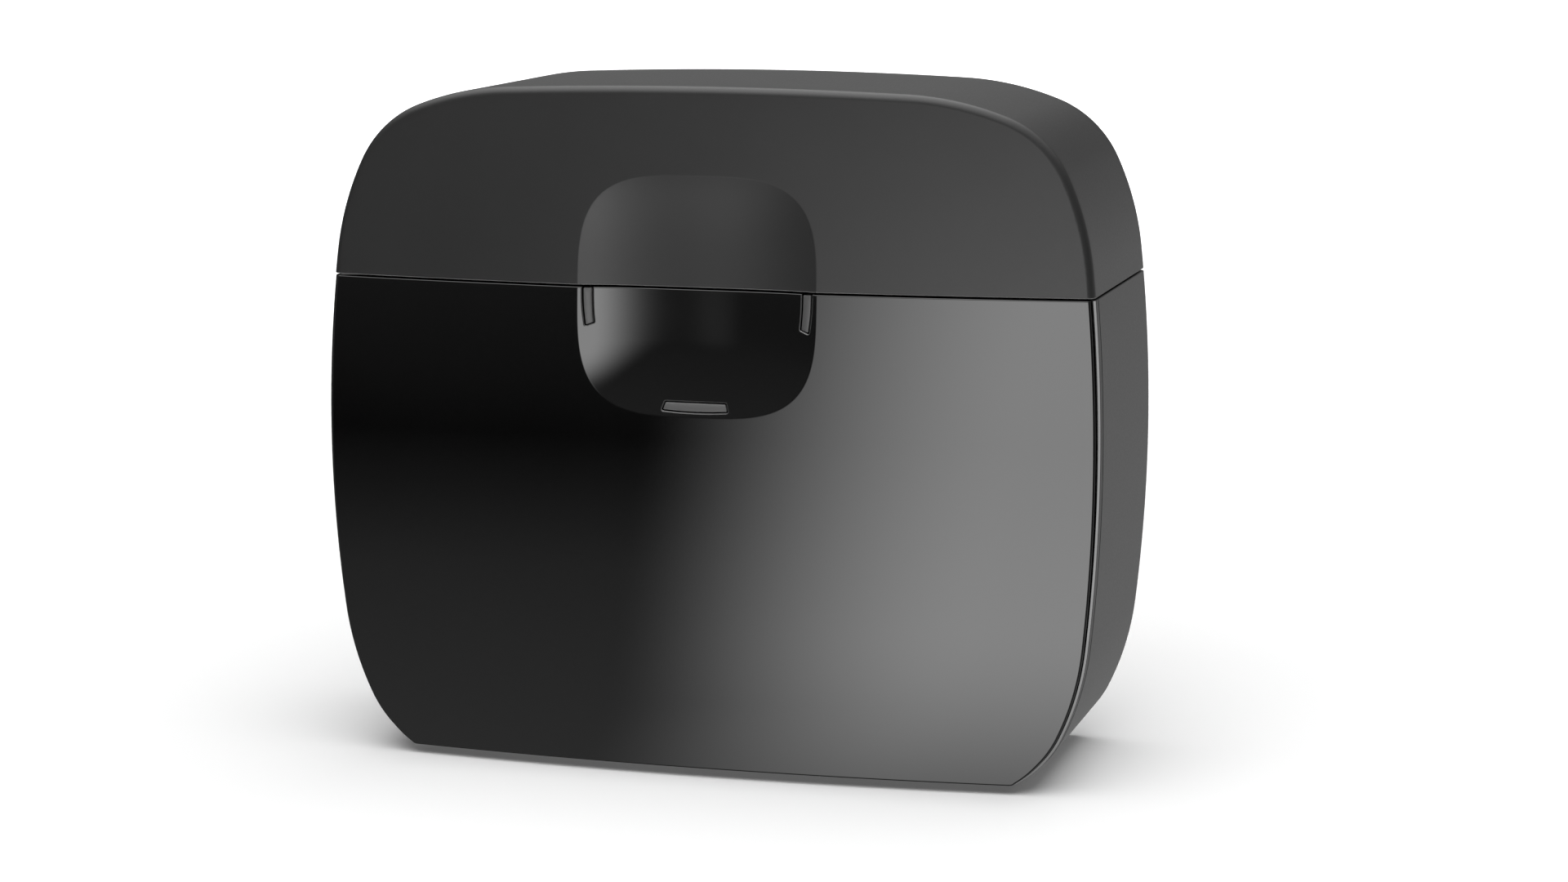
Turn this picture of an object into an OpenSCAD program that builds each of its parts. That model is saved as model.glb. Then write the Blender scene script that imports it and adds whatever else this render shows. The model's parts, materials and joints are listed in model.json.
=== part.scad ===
// Pocket hard case for a pair of hearing aids.
// A satin shell with a glossy front panel stands on low rubber feet; the
// upper part is a lid that swings back on a pinned butt hinge. A shallow
// thumb dish crosses the parting line on the front.
// X is the width, -Y is the front, +Z is up, the floor is z = 0.

/* [Outline] */
// Overall width of the case
case_w = 76.3; // [75.5:0.1:77]
// Depth from the crown of the front face to the flat back
case_d = 28.5; // [28:0.5:29.5]
// Height of the widest level above the base
waist_z = 31.45; // [31:0.05:31.8]
// Radius of the gently bowed side walls
side_r = 158.5; // [150:0.5:165]
// Angle the bowed side wall runs above the waist
side_a = 6.3; // [6:0.1:6.6]
// Angle the bowed side wall runs below the waist
low_side_a = 6.5; // [6.3:0.05:6.7]
// Radius that leads from the side into the shoulder
lead_r = 27.5; // [26:0.5:29]
// Angle at which the tight shoulder radius starts
lead_a = 25.3; // [24:0.1:26]
// Tight radius of the shoulder
shoulder_r = 10.8; // [10:0.1:11.5]
// Angle at which the shoulder runs out towards the top
shoulder_a = 69; // [67:0.5:70]
// Radius that leads from the shoulder into the top
crown_r = 29.5; // [28:0.5:31]
// Radius of the nearly flat top
top_r = 460; // [420:10:500]
// Small radius where the outline meets the flat base
base_r = 2; // [1.95:0.05:2.4]
// Radius of the domed front face
dome_r = 272; // [260:2:290]

/* [Shell] */
// Height of the parting line above the base
part_z = 46.55; // [46.4:0.05:46.7]
// Gap between lid and body at the parting line
part_gap = 0.3; // [0.25:0.05:0.35]
// Wall thickness of the shells
wall = 1.8; // [1.6:0.1:1.9]
// Wall thickness at the back, which takes the hinge
back_wall = 2.2; // [2.1:0.05:2.3]
// Thickness of the glossy front panel
panel_t = 1.2; // [1.1:0.05:1.3]
// Height of the panel edge that stands proud of the shell rim
panel_proud = 0.65; // [0.5:0.05:0.7]
// Inset of the panel edge from the shell outline
panel_inset = 0.35; // [0.2:0.05:0.4]

/* [Thumb dish] */
// Width of the dish
dish_w = 23.3; // [22.8:0.1:23.6]
// Height of the dish
dish_h = 22.6; // [22:0.1:23]
// Height of the dish centre above the base
dish_z = 45.85; // [45.6:0.05:46.1]
// Depth of the dish at its centre
dish_depth = 1.1; // [1:0.05:1.4]

/* [Hinge] */
// Length of the hinge along the back
hinge_w = 34; // [32:1:36]
// Outer diameter of the hinge barrel
barrel_d = 2.4; // [2.3:0.05:2.5]
// Diameter of the hinge pin
pin_d = 1.1; // [1:0.05:1.2]
// Angle at which the lid heel meets the back
open_a = 110; // [100:1:115]

/* [Inside] */
// Width of one hearing aid well
well_w = 25; // [24:0.5:25.5]
// Depth of one well from front to back
well_d = 13.4; // [12.5:0.1:13.6]
// Height of one well
well_h = 35; // [30:1:36]
// Thickness of the felt in the wells
felt_t = 1.2; // [0.8:0.1:1.4]

/* [Feet] */
// Height that the feet lift the base off the floor
foot_h = 0.75; // [0.7:0.05:1]
// Diameter of a foot
foot_d = 6; // [5:0.5:7]

/* [Hidden] */
$fn = 64;

hinge_off = 0.3;                       // barrel axis behind the back face
hinge_out = 1.7;                       // reach of the heel behind the axis
front_y = -(case_d + hinge_off + hinge_out) / 2;
back_y = front_y + case_d;
axis_y = back_y + hinge_off;
zb = foot_h;                           // base of the shell
zw = zb + waist_z;                     // widest level
zp = zb + part_z;                      // parting plane
z_body = zp - part_gap / 2;            // top of the body
z_lid = zp + part_gap / 2;             // bottom of the lid
back_in = back_y - back_wall;          // inside of the back wall
lid_front_t = 1.6;                     // front wall of the lid
bump_y = front_y + 3.15;               // back of the thickened dish area

// ---- outline of the case seen from the front, inset by t ----
function u(a) = [cos(a), sin(a)];
c1 = [case_w / 2 - side_r, waist_z];
ca = c1 + (side_r - lead_r) * u(side_a);
c2 = ca + (lead_r - shoulder_r) * u(lead_a);
ct = c2 + (shoulder_r - crown_r) * u(shoulder_a);
top_a = acos(ct[0] / (top_r - crown_r));
c3 = ct + (crown_r - top_r) * u(top_a);
cl = c1 + (side_r - lead_r) * u(-low_side_a);
cs = cl + (lead_r - shoulder_r) * u(-lead_a);
base_a = -asin((cs[1] - base_r) / (shoulder_r - base_r));
cf = cs + (shoulder_r - base_r) * u(base_a);

function run(c, r, a0, a1, n, first = 1) =
    [for (i = [first:n]) c + r * u(a0 + (a1 - a0) * i / n)];
function half(t, tb) =
    let (as = tb == t ? base_a : asin((tb - cs[1]) / (shoulder_r - t)))
    concat(tb == t ? run(cf, base_r - t, -90, base_a, 3, 0)
                   : [cs + (shoulder_r - t) * u(as)],
           run(cs, shoulder_r - t, as, -lead_a, 7),
           run(cl, lead_r - t, -lead_a, -low_side_a, 5),
           run(c1, side_r - t, -low_side_a, side_a, 6),
           run(ca, lead_r - t, side_a, lead_a, 5),
           run(c2, shoulder_r - t, lead_a, shoulder_a, 10),
           run(ct, crown_r - t, shoulder_a, top_a, 5),
           run(c3, top_r - t, top_a, 90, 2));
function outline(t, tb) =
    let (h = half(t, tb), n = len(h))
    concat(h, [for (i = [n - 2:-1:0]) [-h[i][0], h[i][1]]]);

// Upright block with the case outline, inset by t (tb at the base)
module prism(t, tb, y0, y1) {
    translate([0, y1, zb]) rotate([90, 0, 0])
        linear_extrude(height = y1 - y0) polygon(outline(t, tb));
}

// Everything behind the domed front face, set back by t
module dome(t) {
    translate([0, front_y + dome_r, zw]) sphere(r = dome_r - t, $fn = 360);
}

// Everything above or below a level
module above(z) { translate([-60, -40, z]) cube([120, 80, 80]); }
module below(z) { translate([-60, -40, z - 80]) cube([120, 80, 80]); }

// Upright block with rounded corners
module block(x0, x1, y0, y1, z0, z1, r) {
    translate([0, 0, z0]) linear_extrude(height = z1 - z0) union() {
        translate([x0 + r, y0]) square([x1 - x0 - 2 * r, y1 - y0]);
        translate([x0, y0 + r]) square([x1 - x0, y1 - y0 - 2 * r]);
        for (x = [x0 + r, x1 - r], y = [y0 + r, y1 - r])
            translate([x, y]) circle(r = r);
    }
}

module xcyl(r, x0, x1, y, z) {
    translate([x0, y, z]) rotate([0, 90, 0]) cylinder(r = r, h = x1 - x0);
}
module ycyl(r1, r2, y0, y1, x, z) {
    translate([x, y0, z]) rotate([-90, 0, 0])
        cylinder(r1 = r1, r2 = r2, h = y1 - y0);
}
// Plate drawn from the front, running from y0 to y1
module plate(y0, y1) {
    translate([0, y1, 0]) rotate([90, 0, 0])
        linear_extrude(height = y1 - y0) children();
}

// ---- thumb dish ----
dish_n = 3.5;                          // squareness of the dish outline
dish_p = 3.2;                          // how flat the floor of the dish is
dish_k = 40;                           // points around the dish
function sg(v) = v < 0 ? -1 : 1;
function dish_xz(rho, i) =
    let (a = 360 * i / dish_k)
    [rho * dish_w / 2 * sg(cos(a)) * pow(abs(cos(a)), 2 / dish_n),
     zb + dish_z + rho * dish_h / 2 * sg(sin(a)) * pow(abs(sin(a)), 2 / dish_n)];
function front(p) = front_y + dome_r
    - sqrt(dome_r * dome_r - p[0] * p[0] - (p[1] - zw) * (p[1] - zw));
function dish_pt(rho, i) =
    let (p = dish_xz(rho, i))
    [p[0], front(p) + dish_depth * (1 - pow(rho, dish_p)), p[1]];
dish_rho = [0.3, 0.5, 0.65, 0.78, 0.88, 0.96, 1.05];

// Block that is cut out of the front, with the concave floor of the dish
module dish_cut() {
    m = len(dish_rho);
    k = dish_k;
    pts = concat([dish_pt(0, 0)],
        [for (r = dish_rho, i = [0:k - 1]) dish_pt(r, i)],
        [for (i = [0:k - 1]) let (p = dish_xz(dish_rho[m - 1], i))
            [p[0], front_y - 4, p[1]]]);
    function id(r, i) = 1 + r * k + (i % k);
    polyhedron(pts, concat(
        [for (i = [0:k - 1]) [0, id(0, i), id(0, i + 1)]],
        [for (r = [0:m - 2], i = [0:k - 1]) each [
            [id(r, i), id(r + 1, i), id(r + 1, i + 1)],
            [id(r, i), id(r + 1, i + 1), id(r, i + 1)]]],
        [for (i = [0:k - 1]) each [
            [id(m, i), id(m, i + 1), id(m - 1, i + 1)],
            [id(m, i), id(m - 1, i + 1), id(m - 1, i)]]],
        [[for (i = [k - 1:-1:0]) id(m, i)]]));
}
// Area around the dish where the wall is thickened
module dish_area(s) { polygon([for (i = [0:dish_k - 1]) dish_xz(s, i)]); }

// ---- the three small tabs in the lower half of the dish ----
tab_gap = 0.16;
module side_tab(g) {
    polygon([[10.36 - g, z_body + 1], [11.12 + g, z_body + 1],
             [11.12 + g, zp - 0.6], [11.07 + g, zp - 2],
             [10.87 + g, zp - 3.7 - g], [10.2 - g, zp - 3.44 - g],
             [10.32 - g, zp - 2], [10.36 - g, zp - 0.6]]);
}
module low_tab(g) {
    polygon([[-3.14 - 1.2 * g, zp - 11.38 - g], [0, zp - 11.5 - g],
             [3.14 + 1.2 * g, zp - 11.38 - g], [2.92 + g, zp - 10.72 + g],
             [-2.92 - g, zp - 10.72 + g]]);
}
module tabs(g) {
    side_tab(g);
    mirror([1, 0]) side_tab(g);
    low_tab(g);
}

// ---- hinge ----
hz = zp;                               // level of the hinge axis
leaf_t = 0.8;
leaf_h = 6;
kn = hinge_w / 5;                      // pitch of the knuckles
kg = 0.1;                              // play at each side of a knuckle
leaf_screw_x = 12;
body_kn = [[-hinge_w / 2, -1.5 * kn - kg], [-0.5 * kn + kg, 0.5 * kn - kg],
           [1.5 * kn + kg, hinge_w / 2]];
lid_kn = [[-1.5 * kn + kg, -0.5 * kn - kg], [0.5 * kn + kg, 1.5 * kn - kg]];

// Room in the back wall for one leaf and its screws, s = 1 lid, -1 body
module leaf_room(s) {
    z0 = hz - s * 0.2;
    z1 = hz + s * (1.5 + leaf_h + 0.05);
    translate([-hinge_w / 2 - 0.05, back_y - leaf_t, min(z0, z1)])
        cube([hinge_w + 0.1, leaf_t + 1, abs(z1 - z0)]);
    xcyl(barrel_d / 2 + 0.35, -hinge_w / 2 - 0.3, hinge_w / 2 + 0.3, axis_y, hz);
    for (x = [-leaf_screw_x, leaf_screw_x])
        ycyl(0.85, 0.85, back_in + 0.25, back_y, x, hz + s * 4.8);
}
module leaf(s, segs, open) {
    difference() {
        union() {
            translate([-hinge_w / 2, back_y - leaf_t,
                       s > 0 ? hz + 1.5 : hz - 1.5 - leaf_h])
                cube([hinge_w, leaf_t, leaf_h]);
            for (g = segs) {
                translate([g[0], back_y - leaf_t, s > 0 ? hz + 0.7 : hz - 1.6])
                    cube([g[1] - g[0], leaf_t, 0.9]);
                xcyl(barrel_d / 2, g[0], g[1], axis_y, hz);
                if (open > 0) translate([g[0], axis_y, hz])
                    rotate([open, 0, 0])
                        translate([0, -hinge_off + 0.04, -hinge_out])
                            cube([g[1] - g[0], 0.76, hinge_out - 0.75]);
            }
        }
        xcyl(pin_d / 2 + 0.05, -hinge_w, hinge_w, axis_y, hz);
        for (x = [-leaf_screw_x, leaf_screw_x]) {
            ycyl(0.85, 0.85, back_y - 2, back_y + 1, x, hz + s * 4.8);
            ycyl(0.85, 1.6, back_y - 0.7, back_y + 0.05, x, hz + s * 4.8);
        }
    }
}
module leaf_screws(s) {
    for (x = [-leaf_screw_x, leaf_screw_x]) difference() {
        union() {
            ycyl(0.8, 0.8, back_in + 0.35, back_y - 0.65, x, hz + s * 4.8);
            ycyl(0.8, 1.45, back_y - 0.7, back_y - 0.05, x, hz + s * 4.8);
        }
        translate([x - 1, back_y - 0.4, hz + s * 4.8 - 0.18])
            cube([2, 1, 0.36]);
        translate([x - 0.18, back_y - 0.4, hz + s * 4.8 - 1])
            cube([0.36, 1, 2]);
    }
}

// ---- inside ----
col_x = 34.5;                          // outside of the mouth collar
col_y0 = front_y + 6.05;
col_y1 = back_in - 0.95;
col_t = 1.2;
col_top = zp + 3.1;
deck = zp - 1.7;                       // top of the tray deck
deck_t = 1.4;
well_x = 18.8;
mid_y = (col_y0 + col_y1) / 2;
post_y = [mid_y - 4, mid_y + 4];
cell_w = 8.4;                          // pocket for spare cells
cell_d = 13;
cell_h = 8;

module well(x, g, z0, z1, r) {
    block(x - well_w / 2 - g, x + well_w / 2 + g,
          mid_y - well_d / 2 - g, mid_y + well_d / 2 + g, z0, z1, r);
}

// Satin lower shell: sides, base, back and a set-back front wall
module body_shell() {
    color("dimgray") difference() {
        intersection() { prism(0, 0, front_y - 2, back_y); dome(panel_proud); }
        above(z_body);
        // seat of the front panel
        difference() {
            prism(0.9, 0.9, front_y - 3, 0);
            dome(panel_t);
        }
        // hollow
        difference() {
            intersection() {
                prism(wall, wall, front_y, back_in);
                dome(panel_t + 1.4);
            }
            for (y = post_y) translate([0, y, zb])
                cylinder(r = 3, h = wall + 0.8);
        }
        // notch behind the dish that takes the catch bracket
        translate([-13.2, front_y - 1, zb + dish_z - dish_h / 2 - 1.6])
            cube([26.4, 5.5, 40]);
        leaf_room(-1);
        // tray screws from below, seats for the feet
        for (y = post_y) translate([0, y, 0]) {
            cylinder(r = 1.1, h = 12);
            cylinder(r = 2.1, h = zb + 1);
        }
        feet_at() cylinder(r = foot_d / 2 + 0.05, h = zb + 0.6);
    }
}

// Glossy front panel with the lower half of the dish
module front_panel() {
    color([0.03, 0.03, 0.035]) difference() {
        difference() {
            difference() {
                intersection() {
                    prism(panel_inset, panel_inset, front_y - 2, 0);
                    dome(0);
                }
                panel_back();
            }
            dish_cut();
        }
        above(z_body);
        plate(front_y - 2, 0) tabs(tab_gap);
    }
}
// What is cut away behind the panel: a thin band is left along its rim,
// the full thickness inside that and a thickened area behind the dish
module panel_back() {
    difference() {
        difference() {
            prism(-2, -2, front_y, 2);
            prism(1, 1, front_y - 2, 4);
        }
        dome_void(panel_proud - 0.02);
    }
    difference() {
        intersection() { prism(0.5, 0.5, front_y, 2); dome(panel_t - 0.02); }
        plate(front_y - 1, bump_y) dish_area(1.1);
    }
}
// Everything in front of a dome that is set back by t
module dome_void(t) {
    difference() {
        translate([-60, front_y - 5, -20]) cube([120, 40, 120]);
        dome(t);
    }
}

// Bracket behind the panel whose three tabs show in the dish
module catch_bracket() {
    color([0.36, 0.36, 0.37]) difference() {
        union() {
            translate([-15.5, front_y + 3.55, zp - 13.2])
                cube([31, 1.65, 12.85]);
            intersection() {
                plate(front_y + 0.95, front_y + 3.6)
                    { side_tab(0); mirror([1, 0]) side_tab(0); }
                below(z_body - 0.05);
            }
            plate(front_y + 0.5, front_y + 3.6) low_tab(0);
        }
        for (x = [-6.5, 6.5])
            translate([x - 4.05, front_y + 3.75, zp - 3.1])
                cube([8.1, 1.26, 10]);
    }
}

// Closing magnets in the top of the bracket
module catch_magnets() {
    color("silver") for (x = [-6.5, 6.5])
        translate([x - 4, front_y + 3.78, zp - 3.08]) cube([8, 1.2, 2.6]);
}

// Collar that stands up out of the body and locates the lid
module mouth_collar() {
    color([0.2, 0.2, 0.21]) difference() {
        union() {
            block(-col_x, col_x, col_y0, col_y1, zp - 10, col_top, 3);
            // flange that fills the mouth of the shell
            difference() {
                intersection() {
                    prism(wall + 0.12, wall, front_y, back_in - 0.1);
                    dome(panel_t + 1.55);
                    translate([-50, -30, zp - 3.3]) cube([100, 60, 1.2]);
                }
                translate([-15.7, front_y, zp - 5])
                    cube([31.4, 5.35, 10]);
            }
        }
        block(-col_x + col_t, col_x - col_t, col_y0 + col_t, col_y1 - col_t,
              zp - 30, zp + 10, 1.8);
    }
}

// Soft bead around the foot of the collar, in the parting gap
module rim_seal() {
    color([0.05, 0.05, 0.05]) difference() {
        block(-col_x - 0.8, col_x + 0.8, col_y0 - 0.75, col_y1 + 0.85,
              zp - 2.08, zp - 0.1, 3.7);
        block(-col_x - 0.04, col_x + 0.04, col_y0 - 0.04, col_y1 + 0.04,
              zp - 5, zp + 5, 3.04);
    }
}

// Lift-off tray with two wells and a pocket for spare cells
module inner_tray() {
    x1 = col_x - col_t - 0.15;
    y0 = col_y0 + col_t + 0.15;
    y1 = col_y1 - col_t - 0.15;
    color([0.3, 0.3, 0.31]) difference() {
        union() {
            block(-x1, x1, y0, y1, deck - deck_t, deck, 1.65);
            for (x = [-well_x, well_x])
                well(x, 1.2, deck - well_h - 1.2, deck - 0.5, 6.2);
            block(-cell_w / 2 - 0.9, cell_w / 2 + 0.9, mid_y - cell_d / 2 - 0.9,
                  mid_y + cell_d / 2 + 0.9, deck - cell_h - 1.2, deck - 0.5, 3.9);
            for (y = post_y) translate([0, y, zb + wall + 0.85])
                cylinder(r = 2.3, h = deck - cell_h - 1 - zb - wall - 0.85);
        }
        for (x = [-well_x, well_x]) well(x, 0, deck - well_h, deck + 5, 5);
        block(-cell_w / 2, cell_w / 2, mid_y - cell_d / 2, mid_y + cell_d / 2,
              deck - cell_h, deck + 5, 3);
        for (y = post_y) translate([0, y, 0]) cylinder(r = 1, h = zb + 14);
    }
}

// Felt cup in one well
module aid_liner(x) {
    color([0.62, 0.62, 0.63]) difference() {
        union() {
            well(x, -0.05, deck - well_h + 0.05, deck + 0.1, 4.95);
            well(x, 0.9, deck + 0.02, deck + 0.7, 5.9);
        }
        well(x, -felt_t, deck - well_h + felt_t, deck + 9, 5 - felt_t);
    }
}
module aid_liner_left() { aid_liner(-well_x); }
module aid_liner_right() { aid_liner(well_x); }

// Screws that hold the tray from below
module tray_screws() {
    color("silver") for (y = post_y) translate([0, y, 0]) difference() {
        union() {
            translate([0, 0, zb + 0.15]) cylinder(r = 1.9, h = 0.83);
            translate([0, 0, zb + 0.5]) cylinder(r = 0.95, h = 11);
        }
        translate([-1.2, -0.22, 0]) cube([2.4, 0.44, zb + 0.55]);
        translate([-0.22, -1.2, 0]) cube([0.44, 2.4, zb + 0.55]);
    }
}

module feet_at() {
    for (x = [-23, 23], y = [front_y + 11.5, back_y - 5])
        translate([x, y, 0]) children();
}
// Low round feet let into the base
module rubber_feet() {
    color([0.08, 0.08, 0.08]) feet_at() union() {
        cylinder(r1 = foot_d / 2 - 0.3, r2 = foot_d / 2, h = 0.3);
        translate([0, 0, 0.3]) cylinder(r = foot_d / 2, h = zb + 0.3 - 0.02);
    }
}

module body_hinge_leaf() { color([0.25, 0.25, 0.26]) leaf(-1, body_kn, 0); }
module body_hinge_screws() { color("silver") leaf_screws(-1); }
module hinge_pin() {
    color("silver") xcyl(pin_d / 2, -hinge_w / 2 - 0.2, hinge_w / 2 + 0.2,
                         axis_y, hz);
}

// Satin lid with the upper half of the dish
module lid_shell() {
    color("dimgray") difference() {
        difference() {
            intersection() { prism(0, 0, front_y - 2, back_y); dome(0); }
            below(z_lid);
            difference() {
                intersection() {
                    prism(wall, wall, front_y, back_in);
                    dome(lid_front_t);
                }
                plate(front_y - 1, bump_y) dish_area(1.1);
            }
            leaf_room(1);
        }
        dish_cut();
    }
}

// Liner in the lid with a front rail for the keepers
module lid_liner() {
    color([0.2, 0.2, 0.21]) difference() {
        union() {
            difference() {
                liner_body(0.1, front_y + 3.3, back_in - 0.1);
                liner_body(1.1, front_y + 4.3, back_in - 1.1);
            }
            translate([-14.5, front_y + 3.45, z_lid + 0.2])
                cube([29, 1.95, 5]);
        }
        for (x = [-6.5, 6.5])
            translate([x - 4.05, front_y + 3.75, z_lid])
                cube([8.1, 1.26, 1.85]);
    }
}
module liner_body(t, y0, y1) {
    intersection() {
        prism(wall + t, wall, y0, y1);
        dome(lid_front_t + 0.05 + t);
        above(col_top + 0.4 - (t > 1 ? 1 : 0));
    }
}

// Soft pad under the top of the lid
module lid_pad() {
    color([0.62, 0.62, 0.63]) intersection() {
        prism(wall + 1.15, wall, -30, 30);
        block(-24, 24, front_y + 6, back_in - 2.5, zp + 11.8, zp + 24, 5);
    }
}

// Steel keepers above the magnets
module lid_keepers() {
    color("silver") for (x = [-6.5, 6.5])
        translate([x - 4, front_y + 3.78, z_lid + 0.3]) cube([8, 1.2, 1.5]);
}

module lid_hinge_leaf() { color([0.25, 0.25, 0.26]) leaf(1, lid_kn, open_a); }
module lid_hinge_screws() { color("silver") leaf_screws(1); }

body_shell();
front_panel();
catch_bracket();
catch_magnets();
mouth_collar();
rim_seal();
inner_tray();
aid_liner_left();
aid_liner_right();
tray_screws();
rubber_feet();
body_hinge_leaf();
body_hinge_screws();
hinge_pin();
lid_shell();
lid_liner();
lid_pad();
lid_keepers();
lid_hinge_leaf();
lid_hinge_screws();
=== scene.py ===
import json
import math

import bmesh
import bpy
import numpy as np
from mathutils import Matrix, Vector

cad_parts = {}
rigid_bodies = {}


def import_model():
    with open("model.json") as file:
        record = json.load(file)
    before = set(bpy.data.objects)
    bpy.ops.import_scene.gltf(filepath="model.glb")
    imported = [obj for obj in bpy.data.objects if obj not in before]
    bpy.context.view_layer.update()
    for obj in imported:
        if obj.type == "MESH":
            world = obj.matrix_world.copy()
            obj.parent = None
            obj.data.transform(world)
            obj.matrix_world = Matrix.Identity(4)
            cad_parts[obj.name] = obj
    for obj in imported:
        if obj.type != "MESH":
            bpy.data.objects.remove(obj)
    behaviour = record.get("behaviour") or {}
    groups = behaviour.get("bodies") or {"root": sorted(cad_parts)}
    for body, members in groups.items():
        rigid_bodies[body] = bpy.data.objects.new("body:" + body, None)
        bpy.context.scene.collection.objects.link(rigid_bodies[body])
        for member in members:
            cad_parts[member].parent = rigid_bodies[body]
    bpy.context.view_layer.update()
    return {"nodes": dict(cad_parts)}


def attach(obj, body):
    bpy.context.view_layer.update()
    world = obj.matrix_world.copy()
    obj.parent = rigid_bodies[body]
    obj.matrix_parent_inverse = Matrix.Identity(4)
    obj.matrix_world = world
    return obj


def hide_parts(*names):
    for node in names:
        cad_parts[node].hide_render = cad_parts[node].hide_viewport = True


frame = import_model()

scene = bpy.context.scene
MM = 0.001

# ---------------------------------------------------------------- outline
# All shapes are written in millimetres. Heights are counted from a level DZ
# above the floor; Build.obj lifts the finished shapes by DZ.
DZ = 0.2
ZB, ZW, ZP = 0.55, 32.0, 47.1         # base, widest level, parting plane
Z_BODY, Z_LID = 47.01, 47.19          # top of the body, bottom of the lid
FY, BY, BI = -15.25, 13.25, 11.05     # front crown, back, inside of the back
R_DOME = 272.0
DISH_W, DISH_H, DISH_Z, DISH_D, DISH_N = 11.65, 11.3, 46.4, 1.1, 3.5
DISH_P = 3.2                          # how flat the floor of the dish is
CH, CH_LID, CH_PANEL = 0.06, 0.07, 0.15    # eased edges at the parting line
R_BASE = 1.4                          # round between the shoulders and the base


def u(a):
    a = math.radians(a)
    return np.array([math.cos(a), math.sin(a)])


C1 = np.array([38.15 - 158.5, ZW])
CA = C1 + (158.5 - 27.5) * u(6.3)
C2 = CA + (27.5 - 10.8) * u(25.3)
CT = C2 + (10.8 - 29.5) * u(69.0)
TOP_A = math.degrees(math.acos(CT[0] / (460 - 29.5)))
C3 = CT + (29.5 - 460) * u(TOP_A)
CL = C1 + (158.5 - 27.5) * u(-6.5)
CS = CL + (27.5 - 10.8) * u(-25.3)
BASE_A = -math.degrees(math.asin((CS[1] - ZB - R_BASE) / (10.8 - R_BASE)))
CF = CS + (10.8 - R_BASE) * u(BASE_A)


def arc(c, r, a0, a1, n, first=1):
    k = np.arange(first, n + 1) / n
    a = np.radians(a0 + (a1 - a0) * k)
    m = np.stack([np.cos(a), np.sin(a)], 1)
    return c + r * m, m


class Outline:
    """The case outline seen from the front, cut at level zend.
    upper: the part above the cut, else the part below it."""

    def __init__(self, zend, upper):
        self.zend, self.c, self.r = zend, C1, 158.5
        a0 = math.degrees(math.asin((zend - ZW) / 158.5))
        if upper:
            if a0 < 6.3:
                runs = [arc(C1, 158.5, a0, 6.3, 6, 0), arc(CA, 27.5, 6.3, 25.3, 16)]
            else:
                self.c, self.r = CA, 27.5
                a0 = math.degrees(math.asin((zend - CA[1]) / 27.5))
                runs = [arc(CA, 27.5, a0, 25.3, 9, 0)]
            runs += [arc(C2, 10.8, 25.3, 69, 30), arc(CT, 29.5, 69, TOP_A, 16),
                     arc(C3, 460, TOP_A, 90, 26)]
        else:
            runs = [arc(C1, 158.5, a0, -6.5, 34, 0), arc(CL, 27.5, -6.5, -25.3, 14),
                    arc(CS, 10.8, -25.3, BASE_A, 26), arc(CF, R_BASE, BASE_A, -90, 10)]
            k = np.arange(1, 35) / 34
            x = CF[0] * (1 - k)
            runs.append((np.stack([x, np.full_like(x, ZB)], 1),
                         np.tile([0.0, -1.0], (34, 1))))
        p = np.vstack([r[0] for r in runs])
        m = np.vstack([r[1] for r in runs])
        p[-1, 0] = 0.0
        m[-1, 0] = 0.0
        flip = np.array([-1.0, 1.0])
        self.p = np.vstack([p, p[-2::-1] * flip])
        self.m = np.vstack([m, m[-2::-1] * flip])

    def ring(self, t):
        """The outline moved inwards by t, a number or one per column."""
        t = np.broadcast_to(np.asarray(t, float), (len(self.p),))
        q = self.p - t[:, None] * self.m
        for j, s in ((0, 1), (len(q) - 1, -1)):
            q[j] = (s * (self.c[0] + math.sqrt((self.r - t[j]) ** 2
                                               - (self.zend - self.c[1]) ** 2)), self.zend)
        return q


def dome(x, z, t=0.0):
    return FY + R_DOME - np.sqrt((R_DOME - t) ** 2 - x * x - (z - ZW) ** 2)


def rho(x, z):
    return (np.abs(x / DISH_W) ** DISH_N
            + np.abs((z - DISH_Z) / DISH_H) ** DISH_N) ** (1 / DISH_N)


def front(x, z):
    """The front face: a dome with the thumb dish pressed into it."""
    r = np.minimum(rho(x, z), 1.0)
    return dome(x, z) + DISH_D * (1 - r ** DISH_P)


def front_normal(x, z):
    e = 1e-4
    dx = (front(x + e, z) - front(x - e, z)) / (2 * e)
    dz = (front(x, z + e) - front(x, z - e)) / (2 * e)
    n = np.stack([dx, -np.ones_like(dx), dz], -1)
    return n / np.linalg.norm(n, axis=-1, keepdims=True)


def xyz(p, y):
    p = np.asarray(p, float)
    return np.stack([p[:, 0], np.broadcast_to(y, (len(p),)), p[:, 1]], 1)


def dish_reach(c, d):
    """Distance from c to the rim of the dish along the directions d."""
    lo, hi = np.zeros(len(d)), np.full(len(d), 30.0)
    for _ in range(60):
        mid = (lo + hi) / 2
        q = c + d * mid[:, None]
        inside = rho(q[:, 0], q[:, 1]) < 1
        lo, hi = np.where(inside, mid, lo), np.where(inside, hi, mid)
    return (lo + hi) / 2


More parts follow.
